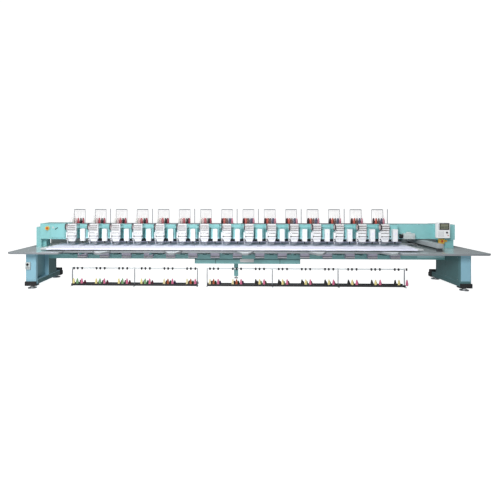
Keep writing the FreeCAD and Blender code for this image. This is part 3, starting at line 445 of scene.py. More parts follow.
def block(low, high, edge=0.0):
    """A block between two corners, with its edges eased."""
    low, high = Vector(low), Vector(high)
    deselect()
    bpy.ops.mesh.primitive_cube_add(size=1.0, location=(low + high) / 2)
    obj = bpy.context.object
    obj.scale = high - low
    settle(obj)
    return ease(obj, edge) if edge else obj


def open_faces(obj, test):
    """Opens a piece for editing, with only the faces that pass the test selected."""
    choose(obj)
    bpy.ops.object.mode_set(mode="EDIT")
    bpy.ops.mesh.select_mode(type="FACE")
    bpy.ops.mesh.select_all(action="DESELECT")
    bpy.ops.object.mode_set(mode="OBJECT")
    for face in obj.data.polygons:
        face.select = test(face)
    bpy.ops.object.mode_set(mode="EDIT")


def pressed(obj, direction, rim, depth):
    """Sinks the faces that look along direction, inside a rim; a depth below zero raises them."""
    along = Vector(direction)
    open_faces(obj, lambda face: face.normal.dot(along) > 0.99)
    bpy.ops.mesh.inset(thickness=rim)
    bpy.ops.mesh.extrude_region_move(TRANSFORM_OT_translate={"value": along * -depth})
    bpy.ops.object.mode_set(mode="OBJECT")
    return obj


def shrunk(obj, direction, share, centre):
    """Shrinks the faces that look along direction towards a centre."""
    along = Vector(direction)
    open_faces(obj, lambda face: face.normal.dot(along) > 0.9)
    bpy.ops.transform.resize(value=share, center_override=centre)
    bpy.ops.object.mode_set(mode="OBJECT")
    return obj


def turned(at, axis, steps, sides=24, edge=0.0):
    """A turned piece. steps are (radius, distance along the axis) from one end to the other."""
    deselect()
    radius, reach = steps[0]
    bpy.ops.mesh.primitive_circle_add(vertices=sides, radius=radius, fill_type="NGON", location=(0, 0, reach))
    obj = bpy.context.object
    settle(obj)
    bpy.ops.object.mode_set(mode="EDIT")
    bpy.ops.mesh.select_all(action="SELECT")
    for next_radius, next_reach in steps[1:]:
        bpy.ops.mesh.extrude_region_move(TRANSFORM_OT_translate={"value": (0, 0, next_reach - reach)})
        share = next_radius / radius
        bpy.ops.transform.resize(value=(share, share, 1), center_override=(0, 0, next_reach))
        radius, reach = next_radius, next_reach
    bpy.ops.mesh.select_all(action="SELECT")
    bpy.ops.mesh.normals_make_consistent(inside=False)
    bpy.ops.object.mode_set(mode="OBJECT")
    obj.rotation_mode = "QUATERNION"
    obj.rotation_quaternion = Vector((0, 0, 1)).rotation_difference(Vector(axis))
    obj.location = at
    settle(obj)
    return ease(obj, edge) if edge else obj


def rod(start, end, radius, sides=12, edge=0.0):
    """A round bar between two points."""
    start, end = Vector(start), Vector(end)
    run = end - start
    return turned(start, run.normalized(), [(radius, 0.0), (radius, run.length)], sides, edge)


def wire_form(runs, radius, sides=1, smooth=False):
    """Bent wires or threads, each along its points."""
    curve = bpy.data.curves.new("wire", "CURVE")
    curve.dimensions = "3D"
    curve.bevel_depth = radius
    curve.bevel_resolution = sides
    curve.use_fill_caps = True
    for points in runs:
        spline = curve.splines.new("NURBS" if smooth else "POLY")
        spline.points.add(len(points) - 1)
        for slot, point in zip(spline.points, points):
            slot.co = (*point, 1.0)
        if smooth:
            spline.order_u = 3
            spline.use_endpoint_u = True
            spline.resolution_u = 6
    obj = bpy.data.objects.new("wire", curve)
    bpy.context.scene.collection.objects.link(obj)
    choose(obj)
    bpy.ops.object.convert(target="MESH")
    return bpy.context.object


def tinted(obj, finish):
    """Gives a piece, or a part of one before it is joined, its finish."""
    obj.data.materials.clear()
    obj.data.materials.append(FINISH[finish])
    return obj


def joined(*parts):
    """Several parts as one mesh."""
    if len(parts) > 1:
        choose(*parts)
        bpy.ops.object.join()
    return parts[0]


def copied(obj, shifts):
    """One mesh with a copy of obj at each shift."""
    copies = []
    for shift in shifts:
        twin = obj.copy()
        twin.data = obj.data.copy()
        twin.data.transform(Matrix.Translation(Vector(shift)))
        bpy.context.scene.collection.objects.link(twin)
        copies.append(twin)
    bpy.data.objects.remove(obj)
    return joined(*copies)


def along_x(obj, xs):
    """A copy of obj at each X."""
    return copied(obj, [(x, 0, 0) for x in xs])


def facing(x0, x1, z0, z1, y, thick, finish, edge=0.001, rim=0.0, depth=0.0):
    """A plate on an upright wall at y, standing out towards the operator; a rim presses its field."""
    obj = block((x0, y - thick, z0), (x1, y, z1), edge)
    if rim:
        pressed(obj, FRONT, rim, depth)
    return tinted(obj, finish)


def in_row(obj, count, step):
    """count copies of obj, each one step on from the last."""
    return apply(obj, "ARRAY", count=count, use_relative_offset=False, use_constant_offset=True,
                 constant_offset_displace=step)


def at_heads(obj, count=None):
    """A copy of obj, made for the first head, at every head."""
    return in_row(obj, count or HEADS, (PITCH, 0.0, 0.0))


def piece(name, obj, body, finish=None, smooth=0.6, replaces=()):
    """Names a finished piece, shades it, and fixes it to its body."""
    obj.name = name
    obj.data.name = name
    if finish:
        tinted(obj, finish)
    choose(obj)
    bpy.ops.object.shade_smooth_by_angle(angle=smooth)
    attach(obj, body)
    if replaces:
        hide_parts(*replaces)
    return obj


def screw(at, axis, radius=0.005):
    """A pan-head screw with a hexagon socket, its seat at the given point."""
    head = turned(at, axis, [(radius, 0.0), (radius, radius * 0.5), (radius * 0.72, radius * 0.8)], 12)
    along = Vector(axis)
    open_faces(head, lambda face: face.normal.dot(along) > 0.99)
    bpy.ops.mesh.inset(thickness=radius * 0.3)
    bpy.ops.mesh.extrude_region_move(TRANSFORM_OT_translate={"value": along * -radius * 0.4})
    bpy.ops.object.mode_set(mode="OBJECT")
    return head


def screws(points, axis, radius=0.005, finish="steel"):
    """A screw at each point."""
    first = Vector(points[0])
    return tinted(copied(screw(first, axis, radius), [Vector(p) - first for p in points]), finish)


def corners(low, high, inset, y):
    """The four corners of an upright panel at y, taken in by inset."""
    return [(x, y, z) for x in (low[0] + inset, high[0] - inset) for z in (low[2] + inset, high[2] - inset)]


def centres(node, test, gap=0.024):
    """The X centres of the separate solids of a CAD node, from the points that pass the test."""
    xs = sorted(vertex.co.x for vertex in NODES[node].data.vertices if test(vertex.co))
    found, start = [], xs[0]
    for here, ahead in zip(xs, xs[1:] + [xs[-1] + 1.0]):
        if ahead - here > gap:
            found.append((start + here) / 2)
            start = ahead
    return found
# ---------------------------------------------------------------- the frame's own places

FRAME_BODY = "machine_frame"
CASES = "needle_case_unit"
CASE_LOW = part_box("needle_cases")[0]
COVER_LOW, COVER_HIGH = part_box("chenille_covers")
PANEL_LOW, PANEL_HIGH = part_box("tension_panels")
BEAM_LOW, BEAM_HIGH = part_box("upper_beam")
TABLE_LOW, TABLE_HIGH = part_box("table_wings")
CONES_LOW, CONES_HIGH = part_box("upper_cones")
YARNS_LOW, YARNS_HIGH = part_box("lower_cones")
TUBES_LOW, TUBES_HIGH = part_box("lower_guides")
HEADS = 15
NEEDLES = 9
COVER_HALF = 0.0525
CHENILLE_X = COVER_LOW.x + COVER_HALF
PITCH = (COVER_HIGH.x - COVER_LOW.x - 2 * COVER_HALF) / (HEADS - 1)
CASE_HALF = 0.095
FLAT_X = CASE_LOW.x + CASE_HALF
NEEDLE_PITCH = 0.012
DIAL_PITCH = 0.019
NEEDLE_Y = -0.040
LEVER_Z = 1.095
CASE_FRONT = CASE_LOW.y
RANKS = [k - (NEEDLES - 1) / 2 for k in range(NEEDLES)]
HEAD_STEPS = [k * PITCH for k in range(HEADS)]

BAY_DEPTH = 0.265
BAY_LINE = TABLE_LOW.y + BAY_DEPTH
TONGUES = 5
TONGUE_X = CHENILLE_X + 0.615
TONGUE_PITCH = 3 * PITCH + 0.015
TONGUE_STEPS = [TONGUE_X + k * TONGUE_PITCH for k in range(TONGUES)]


def beside_needles(offset, pitch=NEEDLE_PITCH, middle=True):
    """X of every needle of the first head, moved by offset."""
    return [FLAT_X + offset + rank * pitch for rank in RANKS if middle or rank]


# ---------------------------------------------------------------- threads and cones

LEFT_DYES = ((0.80, 0.78, 0.74), (0.78, 0.74, 0.72), (0.80, 0.58, 0.58), (0.70, 0.24, 0.24),
             (0.55, 0.10, 0.12),
             (0.72, 0.70, 0.66), (0.015, 0.015, 0.02), (0.06, 0.025, 0.03), (0.42, 0.07, 0.10))
RIGHT_DYES = ((0.03, 0.01, 0.012), (0.38, 0.02, 0.03), (0.66, 0.12, 0.08), (0.30, 0.12, 0.07),
              (0.16, 0.08, 0.07),
              (0.62, 0.62, 0.66), (0.07, 0.09, 0.17), (0.11, 0.05, 0.16), (0.66, 0.22, 0.30))
YELLOW, OLIVE, LEAF, BOTTLE = (0.92, 0.78, 0.32), (0.10, 0.08, 0.01), (0.22, 0.45, 0.20), (0.01, 0.06, 0.02)
ROSE, WINE, JET, CREAM = (0.72, 0.16, 0.30), (0.10, 0.005, 0.02), (0.008, 0.007, 0.008), (0.92, 0.82, 0.46)
BRICK, PLUM, NAVY = (0.42, 0.09, 0.03), (0.03, 0.01, 0.06), (0.09, 0.10, 0.30)

# The yarns of a head's front and back row, for the heads from the left, the middle and the right.
# For the heads from the left, the back row is a darker copy of the front row: painted shade for the shaded
# sides of the front cones.
FIRST_HEADS_DYES_AND_SHADES = ((YELLOW, LEAF, ROSE), (OLIVE, BOTTLE, WINE))
MIDDLE_DYES = ((CREAM, BRICK, ROSE), (JET, BOTTLE, PLUM))
LAST_DYES = ((JET, YELLOW, ROSE), (JET, LEAF, OLIVE))
HEAD_DYES_AND_SHADES = [FIRST_HEADS_DYES_AND_SHADES] * 4 + [MIDDLE_DYES] * 4 + [LAST_DYES] * 7
LEFT_HEADS = 7

CONE_RADIUS = 0.024
CONE_STEP = 0.030
YARN_RADIUS = 0.027
YARN_TIP = 0.013
BACK_YARN_HEIGHT = 0.0792
GUIDE_STEP = 0.027
GUIDE_Y = 0.395
RACK_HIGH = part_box("rack_frames")[1]


def coloured(obj, colour):
    """Writes a colour on a piece: a thread's colour, and for some yarn cones a painted shade of one."""
    layer = obj.data.color_attributes.new("dye_and_painted_shade", "FLOAT_COLOR", "POINT")
    layer.data.foreach_set("color", [*colour, 1.0] * len(obj.data.vertices))
    return obj


def wound_cone(at, radius, tip, height, colour, sides=16):
    """Thread wound on a cone: swollen flanks, rounded shoulders and the end of the paper cone."""
    steps = [(radius * 0.82, 0.0), (radius, height * 0.05), (radius * 0.98, height * 0.42),
             (tip * 1.22, height * 0.88), (tip * 0.8, height * 0.93), (tip * 0.62, height)]
    return coloured(turned(at, UP, steps, sides), colour)


def upper_cones():
    """Nine cones behind every flat head, in two rows, in the order of the needles."""
    height = CONES_HIGH.z - CONES_LOW.z
    rows = ((5, CONES_LOW.y + CONE_RADIUS, 0), (4, CONES_HIGH.y - CONE_RADIUS, 1))
    for name, dyes, first, count in (("upper_thread_cones_left", LEFT_DYES, 0, LEFT_HEADS),
                                     ("upper_thread_cones_right", RIGHT_DYES, LEFT_HEADS,
                                      HEADS - LEFT_HEADS)):
        cones = []
        for number, y, start in rows:
            for k in range(number):
                x = FLAT_X + first * PITCH + (k - (number - 1) / 2) * 2 * CONE_STEP
                cones.append(wound_cone((x, y, CONES_LOW.z), CONE_RADIUS, 0.013, height, dyes[k * 2 + start],
                                        14))
        made = piece(name, at_heads(joined(*cones), count), FRAME_BODY,
                     replaces=("upper_cones",))
        made.data.materials.append(THREAD)


def lower_cones():
    """Chenille yarn cones in the floor racks: tall ones in front of each head, short ones behind."""
    low, high = YARNS_LOW, YARNS_HIGH
    middle = (low.y + high.y) / 2
    rows = (("front_yarn_cones", lambda p: p.y < middle, low.y + YARN_RADIUS, high.z - low.z),
            ("back_yarn_cones", lambda p: p.y > middle, high.y - YARN_RADIUS, BACK_YARN_HEIGHT))
    for row, (name, in_this_row, y, height) in enumerate(rows):
        xs = centres("lower_cones", lambda p: p.z < low.z + 0.001 and in_this_row(p))
        cones = []
        for k, x in enumerate(xs):
            head, step = divmod(k, len(xs) // HEADS)
            # The back row of the heads from the left takes colours of painted shade.
            cones.append(wound_cone((x, y, low.z), YARN_RADIUS, YARN_TIP, height, HEAD_DYES_AND_SHADES[head][row][step]))
        made = piece(name, joined(*cones), FRAME_BODY, replaces=("lower_cones",))
        made.data.materials.append(YARN)


def cone_places():
    """X and Y of the nine upper cones of the first head, in the order of the needles."""
    rows = (CONES_LOW.y + CONE_RADIUS, CONES_HIGH.y - CONE_RADIUS)
    return [(FLAT_X + (k - 4) * CONE_STEP, rows[k % 2]) for k in range(NEEDLES)]


def upper_threads():
    """Threads from the cones over the guide bar and down to the needle cases."""
    guide_z = RACK_HIGH.z - 0.017
    guide_y = CONES_HIGH.y - CONE_RADIUS + 0.030
    runs = []
    for (cone_x, cone_y), top_x, rank in zip(cone_places(), beside_needles(0.0, GUIDE_STEP), RANKS):
        runs.append([(cone_x, cone_y, CONES_HIGH.z), (top_x, guide_y - 0.004, guide_z - 0.012),
                     (top_x, guide_y - 0.012, guide_z),
                     (FLAT_X + rank * DIAL_PITCH, PANEL_LOW.y + 0.002, PANEL_HIGH.z)])
    threads = at_heads(wire_form(runs, 0.0011, 0))
    threads.name = "upper_threads"
    threads.data.name = "upper_threads"
    tinted(threads, "grey_thread")
    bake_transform(threads)


def lower_yarns():
    """Yarns from the floor cones up to the guide tubes."""
    bottom = TUBES_LOW.z
    xs = centres("lower_guides", lambda p: p.z < bottom + 0.001)
    tube_y = TUBES_LOW.y + 0.011
    runs = [[(x, YARNS_LOW.y + YARN_RADIUS, YARNS_HIGH.z), (x, tube_y, bottom - 0.02),
             (x, tube_y, bottom)] for x in xs]
    piece("lower_yarns", wire_form(runs, 0.0008, 0), FRAME_BODY, "pale_thread")


# ---------------------------------------------------------------- flat heads

def tension_dials():
    """Knurled tension knobs with a spring collar, three rows of nine on each head."""
    low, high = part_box("tension_knobs")
    radius = 0.0075
    reach = high.y - low.y
    steps = [(0.004, 0.0), (radius * 0.86, 0.004), (radius, 0.006), (radius, reach - 0.003),
             (radius * 0.7, reach)]
    knob = turned((0, high.y, 0), FRONT, steps, 10)
    rows = [high.z - radius - k * (high.z - low.z - 2 * radius) / 2 for k in range(3)]
    spots = [(x, 0.0, z) for z in rows for x in beside_needles(0.0, DIAL_PITCH)]
    piece("tension_dials", at_heads(copied(knob, spots)), CASES, "brown_plastic",
          replaces=("tension_knobs",))


def thread_hooks():
    """Check springs and wire hooks below the tension panel, one for each thread."""
    top = PANEL_LOW.z - 0.004
    bends = ((0.0, 0.0, 0.0), (0.0, -0.010, -0.002), (0.010, -0.014, -0.016), (0.004, -0.012, -0.026),
             (-0.003, -0.004, -0.020))
    runs = [[(x + dx, CASE_FRONT + dy, top + dz) for dx, dy, dz in bends] for x in beside_needles(0.0, 0.017)]
    piece("thread_hooks", at_heads(wire_form(runs, 0.0011, 1, smooth=True)), CASES, "steel")


def case_threads():
    """The nine threads that run down the front of each case, by the levers, to the needles."""
    front = PANEL_LOW.y - 0.009
    runs = []
    for rank in RANKS:
        top_x, low_x = FLAT_X + rank * DIAL_PITCH, FLAT_X + rank * NEEDLE_PITCH
        runs.append([(top_x, front, PANEL_HIGH.z - 0.002), (top_x, front, PANEL_LOW.z),
                     (low_x, CASE_FRONT - 0.006, LEVER_Z - 0.05),
                     (low_x, CASE_FRONT - 0.003, CASE_LOW.z + 0.012)])
    piece("case_threads", at_heads(wire_form(runs, 0.0005, 0)), CASES, "pale_thread")


def case_trim():
    """Frame of the lever slot, guide strip and screws on the front of a needle case."""
    low_z, high_z, half, bar = 1.050, 1.140, 0.060, 0.005
    parts = [facing(FLAT_X + x0, FLAT_X + x1, z0, z1, CASE_FRONT, 0.004, "dark_grey") for x0, x1, z0, z1 in (
        (-half - bar, half + bar, high_z, high_z + bar), (-half - bar, half + bar, low_z - bar, low_z),
        (-half - bar, -half, low_z, high_z), (half, half + bar, low_z, high_z))]
    parts.append(facing(FLAT_X - 0.088, FLAT_X + 0.088, high_z + 0.005, high_z + 0.013, CASE_FRONT, 0.006,
                        "steel", 0.0012))
    spots = [(FLAT_X + side * 0.086, CASE_FRONT, z) for side in (-1, 1) for z in (1.060, 1.148)]
    parts.append(screws(spots, FRONT, 0.0035))
    piece("case_trim", at_heads(joined(*parts)), CASES)


def lever_guard():
    """White guard in front of the take-up levers, the dark guide bar in its gap, and the knobs."""
    half, bottom, top = 0.074, 1.040, 1.146
    gap_z, gap = 1.083, 0.007
    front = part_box("take_up_levers")[0].y - 0.008
    parts = [facing(FLAT_X - half, FLAT_X + half, z0, z1, front, 0.002, "white_enamel", 0.0008, 0.004, 0.0008)
             for z0, z1 in ((gap_z + gap, top), (bottom, gap_z - gap))]
    for x in (FLAT_X - half, FLAT_X + half - 0.004):
        parts.append(tinted(block((x, front, bottom), (x + 0.004, CASE_FRONT, top), 0.001), "white_enamel"))
    bar_y = front + 0.004
    bar = rod((FLAT_X - half - 0.006, bar_y, gap_z), (FLAT_X + 0.100, bar_y, gap_z), 0.005, 10)
    parts.append(tinted(bar, "black_plastic"))
    knob_steps = [(0.012, 0.0), (0.014, 0.003), (0.014, 0.018), (0.011, 0.021)]
    for x in (FLAT_X - half - 0.006, FLAT_X + 0.104):
        parts.append(tinted(turned((x, front + 0.012, gap_z), FRONT, knob_steps, 18, 0.0006),
                            "black_plastic"))
    piece("lever_guards", at_heads(joined(*parts)), CASES)


def case_aprons():
    """The white lower shield of each case, with the needle clamp screws above its edge."""
    half = 0.080
    front = CASE_FRONT - 0.007
    low_z, high_z = CASE_LOW.z + 0.006, 1.036
    shield = block((FLAT_X - half, front - 0.003, low_z), (FLAT_X + half, front, high_z), 0.0)
    shrunk(shield, DOWN, (0.86, 1, 1), (FLAT_X, front, low_z))
    parts = [tinted(ease(pressed(shield, FRONT, 0.006, 0.0012), 0.0008, 1), "white_enamel")]
    for x in (FLAT_X - 0.045, FLAT_X + 0.045):
        stay = block((x - 0.006, front, high_z - 0.030), (x + 0.006, CASE_FRONT, high_z - 0.010), 0.001)
        parts.append(tinted(stay, "steel"))
    parts.append(screws([(x, front - 0.0018, high_z - 0.020) for x in beside_needles(0.0, 0.016)], FRONT,
                        0.003))
    piece("case_aprons", at_heads(joined(*parts)), CASES)


def idle_levers():
    """Take-up levers of the eight needles that rest, and their eyelets."""
    low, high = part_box("take_up_levers")
    hub_y, tip_y, tip_z = CASE_FRONT + 0.040, low.y + 0.005, high.z - 0.005
    thick = 0.0024
    blade = block((-thick / 2, tip_y, LEVER_Z - 0.004), (thick / 2, hub_y, LEVER_Z + 0.004))
    open_faces(blade, lambda face: face.normal.y < -0.9)
    bpy.ops.transform.translate(value=(0, 0, tip_z - LEVER_Z))
    bpy.ops.transform.resize(value=(1, 1, 0.7), center_override=(0, tip_y, tip_z))
    bpy.ops.object.mode_set(mode="OBJECT")
    eye = turned((-thick / 2, tip_y, tip_z), RIGHT, [(0.005, 0.0), (0.005, thick)], 12)
    levers = along_x(joined(blade, eye), beside_needles(0.0, middle=False))
    piece("idle_levers", at_heads(levers), CASES, "steel")


def idle_feet():
    """Presser feet of the eight needles that rest, tucked up in the mouth of the case."""
    lift = 0.030
    low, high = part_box("presser_feet")
    ring = turned((0, NEEDLE_Y, low.z + lift), UP, [(0.005, 0.0), (0.0052, 0.003)], 12)
    stalk = block((-0.002, NEEDLE_Y + 0.003, low.z + lift), (0.002, NEEDLE_Y + 0.006, high.z), 0.0006)
    feet = along_x(joined(ring, stalk), beside_needles(0.0, middle=False))
    piece("idle_feet", at_heads(feet), CASES, "steel")


def sequin_tapes():
    """Coiled sequin tape in each reel, and the hubs of the reel."""
    low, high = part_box("sequin_reels")
    middle_y, middle_z = (low.y + high.y) / 2, (low.z + high.z) / 2
    coil = [(0.052, 0.0), (0.0535, 0.0015), (0.052, 0.003), (0.0535, 0.0045), (0.052, 0.006)]
    parts = [tinted(turned((low.x + 0.004, middle_y, middle_z), RIGHT, coil, 32), "brown_plastic")]
    hub = [(0.058, 0.0), (0.060, 0.0015), (0.016, 0.002), (0.014, 0.006)]
    for x, outwards in ((low.x, LEFT), (low.x + 0.016, RIGHT)):
        parts.append(tinted(turned((x, middle_y, middle_z), outwards, hub, 32), "blush_plastic"))
    piece("sequin_tapes", at_heads(joined(*parts)), "sequin_reels")


def sequin_feeders():
    """Shell, step motor and foot of each sequin unit."""
    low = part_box("sequin_units")[0]
    face = low.y + 0.018
    x0, x1 = low.x + 0.006, low.x + 0.030
    shell = facing(x0, x1, 1.060, 1.150, face, 0.008, "white_plastic", 0.002, 0.004, 0.002)
    motor = turned((low.x + 0.018, face, 1.020), FRONT, [(0.012, 0.0), (0.012, 0.014), (0.008, 0.017)], 20)
    foot = facing(x0, x1, CASE_LOW.z + 0.008, CASE_LOW.z + 0.030, face, 0.006, "dark_grey", 0.0015)
    piece("sequin_feeders", at_heads(joined(shell, tinted(motor, "cast_black"), foot)), "sequin_units")


def break_lamps():
    """Thread-break lamps on their black brackets, between each flat head and its arm."""
    face = 0.020
    steps = [(0.008, 0.0), (0.008, 0.006), (0.006, 0.010), (0.003, 0.012)]
    lamp = tinted(turned((FLAT_X + 0.118, face, 1.300), FRONT, steps, 16), "red_plastic")
    bracket = facing(FLAT_X + 0.100, FLAT_X + 0.150, 1.240, 1.290, face, 0.010, "black_plastic", 0.002,
                     0.004, 0.002)
    piece("break_lamps", at_heads(joined(lamp, bracket)), FRAME_BODY)


# ---------------------------------------------------------------- chenille heads

def chenille_trim():
    """Lid line, sight window, gland and screws of each chenille cover."""
    front = COVER_LOW.y
    x0, x1 = CHENILLE_X - COVER_HALF + 0.008, CHENILLE_X + COVER_HALF - 0.008
    z0, z1 = COVER_LOW.z + 0.030, COVER_HIGH.z - 0.030
    lid = facing(x0, x1, z0, z1, front, 0.002, "white_enamel", 0.0008, 0.0015, -0.0008)
    window = facing(CHENILLE_X - 0.014, CHENILLE_X + 0.014, 1.128, 1.152, front - 0.002, 0.0025,
                    "lilac_window_and_painted_shade", 0.0008)
    gland = turned((CHENILLE_X, NEEDLE_Y, COVER_LOW.z - 0.010), UP,
                   [(0.020, 0.0), (0.024, 0.004), (0.024, 0.010)], 24)
    fixings = screws(corners((x0, 0, z0), (x1, 0, z1), 0.008, front - 0.0028), FRONT, 0.0035)
    parts = joined(lid, window, tinted(gland, "dark_grey"), fixings)
    piece("chenille_trim", at_heads(parts), FRAME_BODY)


def arm_trim():
    """A pale strip along the foot of each chenille arm, its sill and screws."""
    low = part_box("chenille_arms")[0]
    x0, x1 = CHENILLE_X - 0.095, CHENILLE_X + 0.095
    strip = facing(x0 + 0.004, x1 - 0.004, low.z + 0.016, low.z + 0.046, low.y, 0.004, "pale_teal", 0.0015)
    sill = facing(x0 + 0.002, x1 - 0.002, low.z, low.z + 0.014, low.y, 0.002, "dark_grey", 0.0008)
    spots = [(x, low.y, z) for x in (x0 + 0.014, x1 - 0.014) for z in (low.z + 0.070, 1.240)]
    piece("arm_trim", at_heads(joined(strip, sill, screws(spots, FRONT, 0.004))), FRAME_BODY)


def looper_trim():
    """Front lid of each looper box, with a dark seam, a bright lip and a black underside."""
    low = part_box("chenille_boxes")[0]
    half = 0.100
    x0, x1 = CHENILLE_X - half, CHENILLE_X + half
    z0, z1 = low.z + 0.046, 0.707
    lid = facing(x0 + 0.006, x1 - 0.006, z0, z1, low.y, 0.003, "mauve_enamel", 0.001, 0.004, 0.0015)
    seam = facing(x0, x1, low.z + 0.034, low.z + 0.044, low.y, 0.004, "plum_paint")
    lip = facing(x0 - 0.003, x1 + 0.003, low.z + 0.014, low.z + 0.031, low.y, 0.009, "white_enamel", 0.002)
    sole = block((x0 + 0.004, low.y - 0.006, low.z - 0.008), (x1 - 0.004, low.y + 0.080, low.z), 0.001)
    fixings = screws(corners((x0, 0, z0), (x1, 0, z1), 0.014, low.y - 0.003), FRONT, 0.004)
    parts = joined(lid, seam, lip, tinted(sole, "cast_black"), fixings)
    piece("looper_trim", at_heads(parts), FRAME_BODY)


# ---------------------------------------------------------------- table

def table_edging():
    """The dark moulding pressed round the edge of the table."""
    left, right = TABLE_LOW.x, TABLE_HIGH.x
    front, back = TABLE_LOW.y, TABLE_HIGH.y
    cut, root, tip = 0.070, 0.380, 0.120
    first_bay, last_bay = CHENILLE_X - 0.210, CHENILLE_X + (HEADS - 1) * PITCH - 0.190
    points = [(left + cut, back), (left, back - cut), (left, front + cut), (left + cut, front),
              (first_bay, front), (first_bay, BAY_LINE)]
    for x in TONGUE_STEPS:
        points += [(x - root / 2, BAY_LINE), (x - tip / 2, front), (x + tip / 2, front),
                   (min(x + root / 2, last_bay), BAY_LINE)]
    points += [(last_bay, front), (right - cut, front), (right, front + cut), (right, back - cut),
               (right - cut, back)]
    band = 0.0035
    height = (TABLE_HIGH.z + TABLE_LOW.z) / 2
    bottom, top = TABLE_LOW.z - height + 0.001, TABLE_HIGH.z - height - 0.001
    strips = []
    for start, end in zip(points, points[1:]):
        run = Vector(end) - Vector(start)
        if run.length < 0.01:
            continue
        strip = block((-band, -run.length / 2, bottom), (band, run.length / 2, top), 0.0025)
        strip.rotation_euler.z = math.atan2(run.y, run.x) - math.pi / 2
        strip.location = ((start[0] + end[0]) / 2, (start[1] + end[1]) / 2, height)
        strips.append(settle(strip))
    piece("table_edging", joined(*strips), FRAME_BODY, "edging")


def table_fixings():
    """Countersunk screws along the seams of the table."""
    top = TABLE_HIGH.z - 0.0005
    wing_xs = [x for inset in (0.30, 0.62) for x in (TABLE_LOW.x + inset, TABLE_HIGH.x - inset)]
    spots = [(x, y, top) for x in wing_xs for y in (-0.55, 0.25, 0.72)]
    spots += [(CHENILLE_X + k * PITCH + 0.15, y, top) for k in (0, 3, 6, 9, 12) for y in (-0.58, 0.30, 0.80)]
    piece("table_screws", screws(spots, UP, 0.009), FRAME_BODY)


def tongue_plates():
    """Pale wear plates on top of the tongues of the table, screwed down at their corners."""
    front, top, thick = TABLE_LOW.y + 0.006, TABLE_HIGH.z, 0.0015
    plate = block((-0.175, front, top), (0.175, BAY_LINE, top + thick), 0.0)
    shrunk(plate, FRONT, (0.31, 1, 1), (0, front, top))
    tinted(ease(plate, 0.0006, 1), "pale_frame")
    spots = [(-0.03, TABLE_LOW.y + 0.03), (0.03, TABLE_LOW.y + 0.03), (-0.12, BAY_LINE - 0.03),
             (0.12, BAY_LINE - 0.03)]
    heads = screws([(x, y, top + thick) for x, y in spots], UP, 0.006)
    piece("tongue_plates", along_x(joined(plate, heads), TONGUE_STEPS), FRAME_BODY)


def tongue_braces():
    """V-shaped steel braces under the tongues of the table, each with a hand hole."""
    front, under = TABLE_LOW.y + 0.030, TABLE_LOW.z
    brace = block((-0.150, front, under - 0.010), (0.150, BAY_LINE + 0.060, under), 0.0)
    shrunk(brace, FRONT, (0.30, 1, 1), (0, front, under))
    ease(pressed(brace, DOWN, 0.020, 0.006), 0.001)
    piece("tongue_braces", along_x(brace, TONGUE_STEPS), FRAME_BODY, "galvanised")


# ---------------------------------------------------------------- fabric and its frame

def sheet_grid(across, deep):
    """A flat grid to be laid as cloth, with a UV layer for its weave."""
    deselect()
    bpy.ops.mesh.primitive_grid_add(x_subdivisions=across, y_subdivisions=deep, size=1.0)
    cloth = bpy.context.object
    layer = cloth.data.uv_layers.active or cloth.data.uv_layers.new()
    layer.name = "cloth"
    return cloth, layer


def fabric_sheet():
    """The stretched cloth: flat over the beds, slack by a few millimetres near the operator's bar."""
    low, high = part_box("fabric")
    width, depth = high.x - low.x, high.y - low.y
    cloth, layer = sheet_grid(264, 36)
    cloth.scale = (width, depth, 1.0)
    cloth.location = (low + high) / 2
    settle(cloth)
    for loop in cloth.data.loops:
        spot = cloth.data.vertices[loop.vertex_index].co
        layer.data[loop.index].uv = (spot.x - low.x, spot.y - low.y)
    hem, slack_reach = 0.05, 0.22
    for vertex in cloth.data.vertices:
        x = vertex.co.x
        u, v = (x - low.x) / width, (vertex.co.y - low.y) / depth
        held = min(1.0, min(u, 1 - u) * width / hem) * min(1.0, min(v, 1 - v) * depth / hem)
        slack = max(0.0, 1.0 - (vertex.co.y - low.y) / slack_reach)
        ripple = math.sin(x * 21.0 + 2.0 * math.sin(x * 3.1)) * math.sin(v * 9.0 + x)
        vertex.co.z += held * (0.0006 * ripple - 0.004 * slack * (1.0 + 0.6 * math.sin(x * 4.3)))
    apply(cloth, "SOLIDIFY", thickness=0.0008, offset=0.0)
    piece("fabric_sheet", cloth, "pantograph", smooth=3.2, replaces=("fabric",))
    cloth.data.materials.append(CLOTH)


def border_cloth():
    """The edge of the cloth, wrapped over the bar nearest to the operator."""
    low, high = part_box("pantograph_frame")
    bracket, bar = 0.120, 0.060
    x0, x1 = low.x + bracket, high.x - bracket
    profile = [(low.y + bar + 0.004, high.z - 0.005), (low.y + bar - 0.002, high.z + 0.0015),
               (low.y + 0.004, high.z + 0.0018), (low.y - 0.0018, high.z - 0.003),
               (low.y - 0.0020, low.z + 0.004)]
    run = [0.0]
    for start, end in zip(profile, profile[1:]):
        run.append(run[-1] + math.dist(start, end))
    steps, last = 200, len(profile) - 1
    cloth, layer = sheet_grid(steps, last)
    for vertex in cloth.data.vertices:
        x = x0 + (x1 - x0) * round((vertex.co.x + 0.5) * steps) / steps
        row = round((vertex.co.y + 0.5) * last)
        y, z = profile[row]
        vertex.co = (x, y, z + (0.003 * math.sin(x * 17.0) if row == last else 0.0))
    for loop in cloth.data.loops:
        spot = cloth.data.vertices[loop.vertex_index].co
        row = min(range(len(profile)), key=lambda k: math.dist(profile[k], (spot.y, spot.z)))
        layer.data[loop.index].uv = (spot.x - x0, run[row])
    apply(cloth, "SOLIDIFY", thickness=0.0009, offset=0.0)
    piece("border_cloth", cloth, "pantograph", smooth=0.9)
    cloth.data.materials.append(CLOTH)


